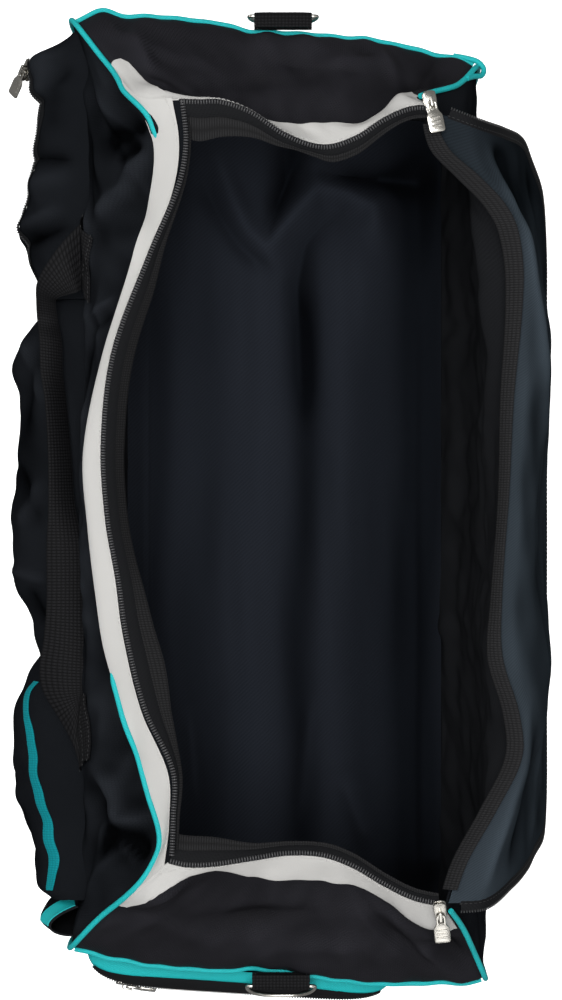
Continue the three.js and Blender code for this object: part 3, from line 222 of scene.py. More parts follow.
SOFT_DEPTH = 8  # of a crease that counts as a full ridge or hollow of painted shade on the lid and the pouches
POUCH_LIFT = 1.2
TRIM_GAP = .3  # between a pouch and what is sewn on it
POUCH_WAY = np.array([-.75, 0, .55])  # the way creases of the front pouches stand out
POCKETS = {
    "far": {"t": (.012, .2998), "v": (.56, .05), "slack": 1, "reach": (
        (0, 0), (.07, 36), (.17, 37), (.25, 38), (.34, 43), (.42, 49), (.5, 53), (.6, 58), (.67, 65), (.705, 68),
        (.75, 64), (.84, 56), (.92, 47), (1, 41))},
    "middle": {"t": (.3002, .6892), "v": (.53, .05), "slack": 1, "reach": (
        (0, 43), (.03, 48), (.07, 58), (.134, 68), (.2, 69), (.27, 67), (.343, 67), (.42, 72), (.5, 75), (.56, 75),
        (.65, 75), (.724, 74), (.78, 71), (.823, 65), (.866, 55), (.924, 48), (1, 43))},
    "near": {"t": (.6896, .95), "v": (.57, .05), "slack": .15, "reach": (
        (0, 42), (.04, 48), (.135, 60), (.25, 72), (.345, 72), (.48, 69), (.64, 62), (.86, 46), (.97, 40), (1, 30))},
}
NEAR_STRIP = ((.1, .14), (.14, .17), (.2, .158), (.3, .12), (.403, .103), (.525, .088), (.65, .072), (.745, .06),
              (.82, .054), (.88, .066), (.96, .11))
FAR_ZIP = ((.08, .26), (.3, .22), (.6, .24), (.84, .3))
BOTTLE = {"t": (.96, .989), "v": (.5, .1), "depth": 32}
END_POCKET = {"t": (.045, .77), "v": (.515, .06), "depth": 27}

# The carry handle: both edges of the webbing, from the far seam to the near one.
HANDLE_EDGES = (
    ((-194, 266, 262), (-193, 203, 262)), ((-211, 247, 267), (-197, 200, 265)), ((-227, 225, 265), (-206, 198, 263)),
    ((-236, 209, 257), (-216, 195, 258)), ((-238, 194, 244), (-219, 190, 246)), ((-238, 177, 237), (-218, 174, 233)),
    ((-235, 157, 245), (-214, 154, 238)), ((-233, 126, 252), (-213, 124, 240)), ((-228, 96, 258), (-210, 97, 238)),
    ((-225, 43, 258), (-205, 44, 238)), ((-225, -5, 256), (-201, -5, 241)), ((-227, -44, 253), (-193, -44, 249)),
    ((-227, -97, 253), (-192, -97, 251)), ((-230, -136, 252), (-191, -141, 255)),
    ((-234, -163, 251), (-191, -166, 259)), ((-230, -186, 253), (-191, -184, 262)),
    ((-214, -211, 259), (-192, -192, 264)), ((-200, -236, 264), (-193, -195, 265)),
    ((-194, -257, 264), (-194, -197, 265)))
HANDLE_PATCHES = ((.197, .274, .645, .765), (.742, .82, .675, .79))  # t and v where the webbing is sewn down

PIPING_ROWS = (.03, .13, .26, .42, .5, .56, .61, .66, .71, .76)
CORNER_LOOP = ((168, 433, 240), (182, 430, 242), (192, 426, 244), (197, 419, 246), (195, 412, 250), (187, 409, 260),
               (178, 404.5, 273))
PIPING_TURN = {  # t from the end, v, lift
    "far": ((0, .8, 2.2), (.003, .84, 2.8), (.006, .9, 2.8), (.012, .917, 2.6), (.022, .924, 2.4)),
    "near": ((0, .85, 2.2), (.003, .893, 2.8), (.01, .915, 2.6), (.022, .922, 2.4)),
}

TABS = {"far": (2, 460.5, 249, 6, 6), "near": (0, 462.5, 250, 6, 36)}  # x, out, z, tilt, tilt of the dee
TAB = {"width": 56, "reach": 14, "height": 9.5}
DEE_HALF = ((30, 0), (32.4, .8), (33, 3.2), (31.5, 12), (27, 21), (20, 27), (9, 30))  # across, down
MOULDED_EDGE = 35  # degrees
WHEEL = {"x": 132, "y": 388, "radius": 27}
# Left halves of the profiles of tyre and hub: across, radius.
TREAD = ((-12.5, 17.3), (-12.5, 23.2), (-11.6, 24.8), (-9.4, 26.2), (-6.4, 26.9), (-5.8, 25.8), (-4.4, 25.8),
         (-3.8, 27))
HUB = ((-11, 4.4), (-11, 7.6), (-10.2, 8.4), (-7, 9), (-6.4, 10), (-6.4, 13), (-7, 13.8), (-9, 14.4), (-10.2, 15.2),
       (-10.4, 16.4), (-9.6, 17))
STITCH = .75, .6  # width and height of a stitch
SLIDER = {"length": 21, "width": 12, "height": 6.5, "tunnel": 8.75}
PULL = {"length": 29, "width": 15, "neck": 9, "thickness": 1.8}
ZIP_ENDS = {  # the way each pull points, and the way up from the cloth
    "mouth_far": ((.2, -1, 0), (.1, .1, 1)),
    "mouth_near": ((.1, -1, 0), (0, -.4, 1)),
    "far_pocket": ((-.5, -.9, -.5), (-.75, 0, .75)),
    "end_pocket": ((1, -.05, -.1), (-.1, -.95, .4)),
}
CLOTH_RELIEF, HARD_RELIEF = .0004, .0003  # metres
CLOTH_FADE_SIZE = 9.0
HOLLOW_SHADE, RIDGE_SHADE = .15, 1.75  # the cloth's colour is scaled by these in its creases: painted shade in the hollows, painted highlight on the ridges
CAMERA = {"height": 2.3, "lens": 76.07}


# ------------------------------------------------------------------------------------------ properties
def length_of(name, description, value):
    return FloatProperty(name=name, description=description, default=value, min=0.0, unit="LENGTH", precision=4)


def colour_of(name, description, value):
    return FloatVectorProperty(name=name, description=description, default=value, size=3, min=0.0, max=1.0,
                               subtype="COLOR")


class RollingBagSizes(bpy.types.PropertyGroup):
    """Sizes of the cloth, trim and fittings"""

    cloth: length_of("Cloth", "Thickness of the outer cloth", .002)
    floor_cloth: length_of("Floor cloth", "Thickness of the floor", .0025)
    facing: length_of("Facing", "Thickness of the white facing", .0012)
    tape: length_of("Tape", "Thickness of zip tapes and bindings", .0014)
    webbing: length_of("Webbing", "Thickness of the webbing", .0022)
    piping: length_of("Piping", "Radius of the piping", .0027)
    tooth_pitch: length_of("Tooth pitch", "Distance between zip teeth", .0026)
    tooth_width: length_of("Tooth width", "Length of a zip tooth across the tape", .0046)
    stitch: length_of("Stitch", "Length of a stitch", .0034)
    stitch_pitch: length_of("Stitch pitch", "Distance between stitches", .0046)
    dee_wire: length_of("Dee wire", "Radius of the wire of the dees", .002)


class RollingBagColours(bpy.types.PropertyGroup):
    """Colours of the cloth, trim and fittings"""

    black_cloth: colour_of("Black cloth", "Outer cloth of the long sides", (.0070, .0079, .0095))
    # the sloping tops are the black cloth given a lighter colour: painted light where they face up
    charcoal_cloth: colour_of("Charcoal cloth", "Sloping tops of the ends", (.0098, .0096, .0120))
    turquoise_cloth: colour_of("Turquoise cloth", "End panels", (.006, .350, .360))
    lining: colour_of("Lining", "Floor of the inside", (.0118, .0136, .0178))
    side_lining: colour_of("Side lining", "Inside of the walls", (.0110, .0116, .0130))
    lid_cloth: colour_of("Lid cloth", "Inner face of the lid", (.0270, .0350, .0430))
    white_facing: colour_of("White facing", "Band round the mouth", (.430, .423, .409))
    zip_tape: colour_of("Zip tape", "Zip tapes and bindings", (.0080, .0083, .0092))
    binding: colour_of("Binding", "Ribbed bindings", (.0112, .0112, .0118))
    trim: colour_of("Trim", "Turquoise webbing on the pockets", (.0015, .170, .195))
    piping: colour_of("Piping", "Cord in the seams", (.005, .370, .380))
    webbing: colour_of("Webbing", "Handle and tabs", (.0060, .0060, .0066))
    teeth: colour_of("Teeth", "Zip teeth", (.040, .040, .042))
    nickel: colour_of("Nickel", "Dees, sliders and pulls", (.430, .415, .380))
    plastic: colour_of("Plastic", "Wheel housings and feet", (.0120, .0122, .0130))
    rubber: colour_of("Rubber", "Tyres", (.0085, .0085, .0088))


def sizes():
    return bpy.context.scene.rolling_bag_sizes


def mm(name):
    """A size in millimetres."""
    return getattr(sizes(), name) / MM


def colours():
    return bpy.context.scene.rolling_bag_colours


# -------------------------------------------------------------------------------------- shape of the bag
def lerp(a, b, x):
    return a + (b - a) * x


def smooth(x):
    x = np.clip(x, 0, 1)
    return x * x * (3 - 2 * x)


def ends(x, run):
    """Falls to 0 within `run` of both ends of 0 to 1."""
    return smooth(x / run) * smooth((1 - x) / run)


def window(x, start, rise, end, fall):
    """Rises from 0 at `start` within `rise`, and falls back to 0 at `end` within `fall`."""
    return smooth((x - start) / rise) * smooth((end - x) / fall)


def unit(a):
    return a / np.maximum(np.linalg.norm(a, axis=-1, keepdims=True), 1e-9)


def run_of(path):
    """Length along a path up to each of its points."""
    return np.concatenate([[0], np.cumsum(np.linalg.norm(np.diff(path, axis=0), axis=-1))])


def through(places, values, x):
    """The smooth curve through rows of values, at places x. The rows may be numbers, or one point for each x."""
    places = np.asarray(places, float)
    values = np.asarray(values, float)
    wide = (-1,) + (1,) * (values.ndim - 1)
    slope = np.empty_like(values)
    slope[1:-1] = (values[2:] - values[:-2]) / (places[2:] - places[:-2]).reshape(wide)
    slope[0] = (values[1] - values[0]) / (places[1] - places[0])
    slope[-1] = (values[-1] - values[-2]) / (places[-1] - places[-2])
    i = np.clip(np.searchsorted(places, x, side="right") - 1, 0, len(places) - 2)
    here, after = i, i + 1
    span = places[after] - places[here]
    f = (x - places[here]) / span
    if values.ndim == 3:
        each = np.arange(values.shape[1])
        here, after, f, span = (here, each), (after, each), f[:, None], span[:, None]
    return ((2 * f**3 - 3 * f**2 + 1) * values[here] + (f**3 - 2 * f**2 + f) * span * slope[here]
            + (3 * f**2 - 2 * f**3) * values[after] + (f**3 - f**2) * span * slope[after])


def follow(rows, x, column=1):
    """The smooth curve through one column of a table, whose first column holds the places."""
    rows = np.asarray(rows, float)
    return through(rows[:, 0], rows[:, column], np.asarray(x, float))


def fold_height(rows, side, t, v):
    """How high the folds of a wall lift or sink it. They fade out at its edges."""
    height = np.zeros_like(t)
    for t0, v0, length, width, slant, rise in rows:
        along, up = (t - t0) * SIDES[side].length, (v - v0) * WALL_HEIGHT
        cos, sin = math.cos(math.radians(slant)), math.sin(math.radians(slant))
        p, q = (along * cos + up * sin) / length, (up * cos - along * sin) / width
        height += rise * np.exp(-p * p - q * q)
    return height * ends(t, .05) * smooth((1 - v) / .12) * smooth(v / .1)


def wall(side, t, v, fine=False):
    """Points on the outside of a wall: t along the side, v up from the base to the zip line."""
    start, end, outward, _, length = SIDES[side]
    t, v = np.broadcast_arrays(np.asarray(t, float), np.asarray(v, float))
    shape, t, v = t.shape, t.ravel(), v.ravel()
    outward = np.array(outward, float)
    rows = []
    for level in LEVELS:
        line = np.array(level[start]) + (np.array(level[end]) - level[start]) * t[:, None]
        bow = level[side] * (1 - np.abs(2 * t - 1) ** level["flatness"])
        if level["v"] == SHOULDER_V:
            for t0, width, reach in KINKS[side]:
                bow = bow + reach * np.exp(-(((t - t0) / width) ** 2))
        line = line + bow[:, None] * outward
        if level["v"] == 0:
            line[:, 2] += KICK["height"] * smooth((line[:, 1] - KICK["from"]) / KICK["length"])
        rows.append(line)
    for top, out, rise in ((SEAM, 1, 2), (ZIP, 3, 4)):
        line = np.array(top[start]) + (np.array(top[end]) - top[start]) * t[:, None]
        line = line + follow(TOP_EDGES[side], t, out)[:, None] * outward
        line[:, 2] += follow(TOP_EDGES[side], t, rise)
        if top is ZIP:
            for place in SLIDER_ENDS[side]:
                line[:, 2] += SLIDER_RISE * np.exp(-(((t - place) * length / SLIDER_RUN) ** 2))
        rows.append(line)
    point = through([level["v"] for level in LEVELS] + [SEAM["v"], ZIP["v"]], np.array(rows), v)
    lean = np.clip((v - .5) / .3, 0, 1)
    out = outward * (1 - .5 * lean)[:, None]
    out[:, 2] = .7 * lean
    height = fold_height(FOLDS[side], side, t, v)
    if fine:
        height = height + fold_height(FINE_FOLDS[side], side, t, v)
        ease = ends(t, .02) * smooth((1 - v) / .1) * smooth(v / .05)
        crease = crease_height(CREASES[side], point) * window(v, .42, .12, .94, .08)
        height = height + crease + ease * (1.5 * ripples(t * length, v * WALL_HEIGHT, 3, 90)
                                           + .7 * ripples(t * length, v * WALL_HEIGHT, 4, 30))
    return (point + unit(out) * height[:, None]).reshape(shape + (3,))


def crease_height(rows, points):
    """How high the creases drawn from above lift or sink a surface at its points. They fade out at their ends."""
    total = np.zeros(points.shape[:-1])
    flat = points[..., :2]
    for width, height, line in rows:
        line = np.array(line, float)
        nearest, place, run = np.full(total.shape, 1e9), np.zeros(total.shape), 0.0
        for start, end in zip(line[:-1], line[1:]):
            way = end - start
            along = np.clip((flat - start) @ way / (way @ way), 0, 1)
            gap = np.linalg.norm(flat - start - along[..., None] * way, axis=-1)
            closer, step = gap < nearest, np.linalg.norm(way)
            place = np.where(closer, run + along * step, place)
            nearest = np.where(closer, gap, nearest)
            run += step
        fade = ends(place / run, CREASE_FADE)
        wide = lerp(*np.broadcast_to(width, 2), place / run)
        total += height * fade * np.exp(-((nearest / wide) ** (2 if height > 0 else 1.4)))
    return total


def ripples(u, w, seed, length):
    """A smooth random swell of about unit height, the same every time."""
    random = np.random.default_rng(seed)
    total = np.zeros_like(u)
    for _ in range(WAVES):
        turn, stretch, start = random.uniform(0, math.pi), random.uniform(.6, 1.9), random.uniform(0, 2 * math.pi)
        k = 2 * math.pi / (length * stretch)
        total += np.cos(k * (u * math.cos(turn) + w * math.sin(turn)) + start)
    return total / math.sqrt(WAVES / 2)


def off_wall(side, t, v, height, fine=False):
    """Points that far off a wall."""
    t, v = np.broadcast_arrays(np.asarray(t, float), np.asarray(v, float))
    a = wall(side, np.minimum(t + PROBE, 1), v) - wall(side, np.maximum(t - PROBE, 0), v)
    b = wall(side, t, np.minimum(v + PROBE, 1)) - wall(side, t, np.maximum(v - PROBE, 0))
    normal = unit(np.cross(a, b)) * SIDES[side].turn
    return wall(side, t, v, fine) + normal * np.asarray(height)[..., None]


def mesh_places(along, across):
    return np.meshgrid(np.asarray(along, float), np.asarray(across, float), indexing="ij")


def even_places(along, across):
    """A grid of places, each way given by its start, end and count."""
    return mesh_places(np.linspace(*along), np.linspace(*across))


def lip(side, t, run, dip):
    """Points inside the mouth, that far in from the zip line and that far below it."""
    point = wall(side, t, np.ones_like(t))
    inward = -np.array(SIDES[side].out, float)
    point = point + inward * np.asarray(run)[..., None]
    point[..., 2] -= dip
    return point


def lid_point(t, s, fine=False):
    """Points on the lid: t along the hinge, s from the hinge to the free edge."""
    hinge = wall("back", t, np.ones_like(t))
    out, drop = follow(LID_ROWS, s, 1), follow(LID_ROWS, s, 2)
    beyond = lerp(follow(LID_ROWS, s, 3), -follow(LID_ROWS, s, 4), t)
    x = lerp(hinge[..., 0] - 3, LID_FALL_X, out)
    for t0, s0, along, across, height in LID_SWELLS:
        bump = np.exp(-((t - t0) / along) ** 2 - ((s - s0) / across) ** 2)
        x = x + height * bump * smooth(s / .3) * smooth((1 - s) / .2)
    point = np.stack([x, hinge[..., 1] + beyond, lerp(hinge[..., 2] + 2, LID_EDGE_Z, drop)], axis=-1)
    if fine:
        ease = window(s, .04, .1, .97, .1) * ends(t, .03)
        rise = crease_height(CREASES["lid"], point) + 1.2 * ripples(point[..., 1], s * LID_DROP, 15, 80)
        point = point + LID_WAY * (rise * ease)[..., None]
    return point


def lid_round(t, s, fine=False):
    """Points on the lid with its low corners rounded."""
    rise = np.maximum((s - (1 - LID_CORNER)) / LID_CORNER, 0)
    inset = LID_CORNER * .42 * (1 - np.sqrt(np.maximum(1 - rise * rise * .96, 0)))
    return lid_point(lerp(inset, 1 - inset, t), s, fine)


def pillow(b, crest=.8):
    """How far a pouch stands out from its top seam, b = 0, to its bottom. A low `crest` lifts its fullest part."""
    return np.maximum(1 - np.abs(2 * np.asarray(b, float) ** crest - 1) ** 2.6, 0) ** .75


def dents(point, a, b, seed):
    """Soft dents in a pouch, fading to its seams."""
    ease = ends(a, .12) * ends(b, .14)
    y, z = point[..., 1], point[..., 2]
    return ease * np.minimum(2.4 * ripples(y, z * 1.2, seed, 120) + .6 * ripples(y, z, seed + 50, 38), 1.5)


def pocket_point(name, a, b, creased=True):
    """Points on a front pouch: a along it, b from its top seam down."""
    pocket = POCKETS[name]
    t, v = lerp(*pocket["t"], a), lerp(*pocket["v"], b)
    depth = np.maximum(follow(pocket["reach"], a), 0) * pillow(b)
    point = off_wall("front", t, v, lerp(-1.5, POUCH_LIFT, smooth(b / .05)), True)
    point[..., 0] -= depth
    point[..., 2] -= depth * .12 * (1 - b)
    if not creased:
        return point
    rise = crease_height(CREASES[f"{name}_pouch"], point) * smooth(b / .06) * smooth((1 - b) / .1)
    rise = rise + pocket["slack"] * dents(point, a, b, 20 + list(POCKETS).index(name))
    return point + POUCH_WAY * rise[..., None]


def bottle_point(a, b):
    """Points on the bottle pocket: a round it, b from its open top down."""
    t, v = lerp(*BOTTLE["t"], a), lerp(*BOTTLE["v"], b)
    below, low = smooth(b / .2), smooth((b - .45) / .55)
    depth = BOTTLE["depth"] * np.sin(math.pi * a) ** .7 * (1 - .9 * low) * (.72 + .34 * below)
    point = off_wall("front", t, v, POUCH_LIFT)
    point[..., 0] -= depth
    point[..., 1] += 9 * (1 - a) * below * (1 - low) - depth * .18
    return point


def end_pocket_point(a, b):
    """Points on the end pocket: a along it, b from its top seam down."""
    t, v = lerp(*END_POCKET["t"], a), lerp(*END_POCKET["v"], b)
    swell = np.maximum(1 - np.abs(2 * a - 1) ** 9, 0) ** .7 * pillow(b, .6)
    point = off_wall("near", t, v, POUCH_LIFT + END_POCKET["depth"] * swell)
    point[..., 1] -= .6 * dents(point, a, b, 31)
    return point


def tilted(grid, x, y, z, turn):
    """Points turned about the X axis and then moved."""
    cos, sin = math.cos(turn), math.sin(turn)
    return np.stack([grid[..., 0] + x, grid[..., 1] * cos - grid[..., 2] * sin + y,
                     grid[..., 1] * sin + grid[..., 2] * cos + z], axis=-1)


def handle_point(a, b):
    """Points of the handle's webbing: a along it, b from its outer edge to its inner one."""
    edges = np.array(HANDLE_EDGES, float)
    run = run_of(edges.mean(axis=1))
    outer, inner = (np.stack([through(run, edges[:, side, k], a * run[-1]) for k in range(3)], axis=-1)
                    for side in (0, 1))
    point = outer + (inner - outer) * b[..., None]
    point[..., 2] += 3 * np.sin(math.pi * b) * ends(a, .04)
    return point


# --------------------------------------------------------------------------------------------- meshes
def make_mesh(name, points, faces, finishes, face_finish=None, uv=None, sharp=50):
    mesh = bpy.data.meshes.new(name)
    mesh.from_pydata(((np.asarray(points) + SHIFT) * MM).tolist(), [], faces)
    for finish in finishes:
        mesh.materials.append(finish_of(finish))
    if face_finish is not None:
        mesh.polygons.foreach_set("material_index", np.asarray(face_finish, np.int32))
    if uv is not None:
        corner = np.empty(len(mesh.loops), np.int32)
        mesh.loops.foreach_get("vertex_index", corner)
        layer = mesh.uv_layers.new(name="UVMap")
        layer.data.foreach_set("uv", np.asarray(uv, np.float32)[corner].ravel())
    mesh.shade_smooth()
    mesh.set_sharp_from_angle(angle=math.radians(sharp))
    mesh.update()
    return mesh


def grid_normals(grid):
    return unit(np.cross(np.gradient(grid, axis=0), np.gradient(grid, axis=1)))


def grid_uv(grid):
    """Lengths along and across a grid, in metres."""
    u, w = run_of(grid[:, grid.shape[1] // 2]), run_of(grid[grid.shape[0] // 2])
    return np.stack(np.meshgrid(u, w, indexing="ij"), axis=-1) * MM


def sheet_mesh(name, grid, lift, thickness, finishes, edge=0.0, rise=None, under=None):
    """A closed sheet on a grid of points, with faces `lift` and `lift + thickness` off it.

    `edge` thins its rims, `under` gives its second face, and `rise` keeps how far its creases stand out or lie in,
    which the cloth's finish reads to paint shade into the hollows and a highlight onto the ridges.
    """
    rows, columns = grid.shape[:2]
    normal = grid_normals(grid)
    half = np.full((rows, columns, 1), thickness / 2)
    if edge:
        b = np.linspace(-1, 1, columns)
        half = half * (lerp(1, 1 - np.abs(b) ** 6, edge))[None, :, None]
    middle = grid + normal * (lift + thickness / 2)
    points = np.concatenate([(middle - normal * half).reshape(-1, 3), (middle + normal * half).reshape(-1, 3)])
    count = rows * columns
    if under is not None:
        points[count:] = under.reshape(-1, 3)
    index = np.arange(count).reshape(rows, columns)
    a, b, c, d = index[:-1, :-1], index[1:, :-1], index[1:, 1:], index[:-1, 1:]
    high = np.stack([a, b, c, d], axis=-1).reshape(-1, 4) + count
    low = np.stack([a, d, c, b], axis=-1).reshape(-1, 4)
    ring = np.concatenate([index[:-1, 0], index[-1, :-1], index[:0:-1, -1], index[0, :0:-1]])
    turn = np.roll(ring, -1)
    rim = np.stack([ring, turn, turn + count, ring + count], axis=-1)
    faces = np.concatenate([low, rim, high])
    if thickness < 0:
        faces = faces[:, ::-1]
    which = np.concatenate([np.zeros(len(low) + len(rim)), np.full(len(high), len(finishes) - 1)])
    uv = grid_uv(grid).reshape(-1, 2)
    mesh = make_mesh(name, points, faces.tolist(), finishes, which, np.concatenate([uv, uv]))
    if rise is not None:
        values = np.tile(np.clip(rise, -1, 1).ravel(), 2).astype(np.float32)
        mesh.attributes.new("rise", "FLOAT", "POINT").data.foreach_set("value", values)
    return mesh


def tube_faces(rings, sides, closed):
    """Faces between rings of points. The last ring joins the first where the tube is closed."""
    faces = []
    for i in range(rings if closed else rings - 1):
        here, after = i * sides, ((i + 1) % rings) * sides
        for k in range(sides):
            turn = (k + 1) % sides
            faces.append((here + k, here + turn, after + turn, after + k))
    return faces


def cord_mesh(name, path, radius, sides, finishes, closed=False):
    """A round cord along a path."""
    path = np.asarray(path, float)
    count = len(path)
    if closed:
        tangent = unit(np.roll(path, -1, axis=0) - np.roll(path, 1, axis=0))
    else:
        tangent = unit(np.gradient(path, axis=0))
    aside = np.array([0, 1, 0]) if abs(tangent[0][1]) < .9 else np.array([1, 0, 0])
    normal = unit(np.cross(aside, tangent[0]))
    angle = np.linspace(0, 2 * math.pi, sides, endpoint=False)
    radius = np.broadcast_to(np.asarray(radius, float), (count,))
    points, uv, run = [], [], 0.0
    for i in range(count):
        normal = unit(normal - tangent[i] * normal.dot(tangent[i]))
        side = np.cross(tangent[i], normal)
        points.append(path[i] + radius[i] * (np.outer(np.cos(angle), normal) + np.outer(np.sin(angle), side)))
        run += np.linalg.norm(path[i] - path[i - 1]) if i else 0
        uv.append(np.stack([np.full(sides, run), angle * radius[i]], axis=-1) * MM)
    faces = tube_faces(count, sides, closed)
    if not closed:
        faces.append(tuple(range(sides - 1, -1, -1)))
        faces.append(tuple((count - 1) * sides + k for k in range(sides)))
    return make_mesh(name, np.concatenate(points), faces, finishes, None, np.concatenate(uv), 70)


def even_path(path, pitch):
    """Evenly spaced places along a path, and the way it runs there."""
    run = run_of(path)
    at = np.linspace(0, run[-1], max(int(round(run[-1] / pitch)), 2) + 1)
    points = np.stack([np.interp(at, run, path[:, k]) for k in range(3)], axis=-1)
    return points, unit(np.gradient(points, axis=0))


def smooth_path(points, pitch):
    """A dense smooth path through a few points."""
    points = np.asarray(points, float)
    run = run_of(points)
    at = np.linspace(0, run[-1], max(int(run[-1] / pitch), 4))
    return np.stack([through(run, points[:, k], at) for k in range(3)], axis=-1)


def turned_mesh(name, half, centre, segments, finishes):
    """A closed ring turned about the X axis from the left half of a profile of (across, radius)."""
    half = np.asarray(half, float)
    profile = np.concatenate([half, half[::-1] * (-1, 1)])
    count = len(profile)
    angle = np.linspace(0, 2 * math.pi, segments, endpoint=False)
    points = np.stack([np.broadcast_to(profile[None, :, 0], (segments, count)),
                       profile[None, :, 1] * np.cos(angle)[:, None],
                       profile[None, :, 1] * np.sin(angle)[:, None]], axis=-1).reshape(-1, 3)
    faces = tube_faces(segments, count, True)
    around = np.repeat(angle, count) * 20 * MM
    uv = np.stack([around, np.tile(np.cumsum(np.ones(count)), segments) * MM], axis=-1)
    mesh = make_mesh(name, points + np.asarray(centre, float), faces, finishes, None, uv, 40)
    return outward_faces(mesh)


def from_bmesh(name, bm, materials):
    """A smooth mesh of what was built, with its moulded edges kept sharp."""
    mesh = bpy.data.meshes.new(name)
    bm.to_mesh(mesh)
    bm.free()
    for material in materials:
        mesh.materials.append(material)
    mesh.shade_smooth()
    mesh.set_sharp_from_angle(angle=math.radians(MOULDED_EDGE))
    return mesh


def outward_faces(mesh, sharp=40):
    """Merges doubles and points every face outwards."""
    bm = bmesh.new()
    bm.from_mesh(mesh)
    bmesh.ops.remove_doubles(bm, verts=bm.verts, dist=1e-6)
    bmesh.ops.recalc_face_normals(bm, faces=bm.faces)
    bm.to_mesh(mesh)
    bm.free()
    mesh.shade_smooth()
    mesh.set_sharp_from_angle(angle=math.radians(sharp))
    return mesh


def plate_mesh(name, outline, holes, low, high, bevel, finishes):
    """A flat plate with holes and softened edges, its outline in X and Y, as a mesh in millimetres at the origin."""
    bm = bmesh.new()
    edges = []
    for loop in [outline, *holes]:
        corners = [bm.verts.new((x, y, low)) for x, y in loop]
        edges += [bm.edges.new((corners[i - 1], corners[i])) for i in range(len(corners))]
    bmesh.ops.triangle_fill(bm, use_beauty=True, use_dissolve=False, edges=edges)
    top = bmesh.ops.extrude_face_region(bm, geom=bm.faces[:])["geom"]
    bmesh.ops.translate(bm, verts=[v for v in top if isinstance(v, bmesh.types.BMVert)], vec=(0, 0, high - low))
    bmesh.ops.recalc_face_normals(bm, faces=bm.faces)
    if bevel:
        rims = [e for e in bm.edges if len(e.link_faces) == 2 and e.calc_face_angle(0) > .9
                and abs(e.verts[0].co.z - e.verts[1].co.z) < 1e-6]
        bmesh.ops.bevel(bm, geom=rims, offset=bevel, segments=2, affect="EDGES", profile=.5)
    mesh = bpy.data.meshes.new(name)
    bm.to_mesh(mesh)
    bm.free()
    for finish in finishes:
        mesh.materials.append(finish_of(finish))
    return mesh


def join_meshes(name, meshes, place, recalculate=True):
    """One mesh of several, set in place."""
    bm = bmesh.new()
    for mesh in meshes:
        bm.from_mesh(mesh)
    bm.transform(place)
    if recalculate:
        bmesh.ops.recalc_face_normals(bm, faces=bm.faces)
    joined = from_bmesh(name, bm, meshes[0].materials)
    for mesh in meshes:
        bpy.data.meshes.remove(mesh)
    return joined


def rounded(corners, radius, steps=4):
    """An outline with its corners rounded."""
    path = []
    count = len(corners)
    for i in range(count):
        before, here, after = (np.array(corners[(i + k) % count], float) for k in (-1, 0, 1))
        reach = min(radius, .45 * np.linalg.norm(before - here), .45 * np.linalg.norm(after - here))
        start, end = here + unit(before - here) * reach, here + unit(after - here) * reach
        for f in np.linspace(0, 1, steps):
            path.append(tuple((1 - f) ** 2 * start + 2 * f * (1 - f) * here + f**2 * end))
    return path


def piece(name, mesh, body, slot, *nodes):
    """Sets a mesh in the scene as a piece that rides on a body and stands for CAD nodes."""
    thing = bpy.data.objects.new(name, mesh)
    bpy.context.scene.collection.objects.link(thing)
    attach(thing, body)
    if nodes:
        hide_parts(*nodes)
    return thing


def sewn(name, grid, lift, thickness, finishes, slot, node, edge=0.0, **more):
    """A sheet of cloth, tape or webbing on the bag, in the place of a CAD node."""
    return piece(name, sheet_mesh(name, grid, lift, thickness, finishes, edge, **more), "bag", slot, node)


# ------------------------------------------------------------------------------------------- node trees
class Tree:
    """Adds and joins nodes in one node tree."""

    def __init__(self, tree):
        self.tree = tree

    def add(self, kind, inputs=None, **settings):
        node = self.tree.nodes.new(kind)
        for key, value in settings.items():
            setattr(node, key, value)
        for key, value in (inputs or {}).items():
            if isinstance(value, bpy.types.NodeSocket):
                self.tree.links.new(value, node.inputs[key])
            else:
                node.inputs[key].default_value = value
        return node

    def math(self, operation, *values):
        return self.add("ShaderNodeMath", dict(enumerate(values)), operation=operation).outputs[0]

    def mix(self, factor, a, b):
        return self.add("ShaderNodeMix", {0: factor, 2: a, 3: b}, data_type="FLOAT").outputs[0]

    def blend(self, factor, a, b):
        return self.add("ShaderNodeMix", {0: factor, 6: a, 7: b}, data_type="RGBA").outputs[2]

    def group(self, tree, inputs):
        return self.add("ShaderNodeGroup", inputs, node_tree=tree).outputs

    def join(self, node, sockets):
        for key, value in sockets.items():
            self.tree.links.new(value, node.inputs[key])


def new_group(name, kind, inputs, outputs):
    """An empty node group with its sockets, each with its type and default, and what adds nodes to it."""
    tree = bpy.data.node_groups.new(name, kind)
    for way, sockets in (("INPUT", inputs), ("OUTPUT", outputs)):
        for socket, (type_of, *value) in sockets.items():
            made = tree.interface.new_socket(socket, in_out=way, socket_type=f"NodeSocket{type_of}")
            if value:
                made.default_value = value[0]
    build = Tree(tree)
    return tree, build, build.add("NodeGroupInput").outputs, build.add("NodeGroupOutput")


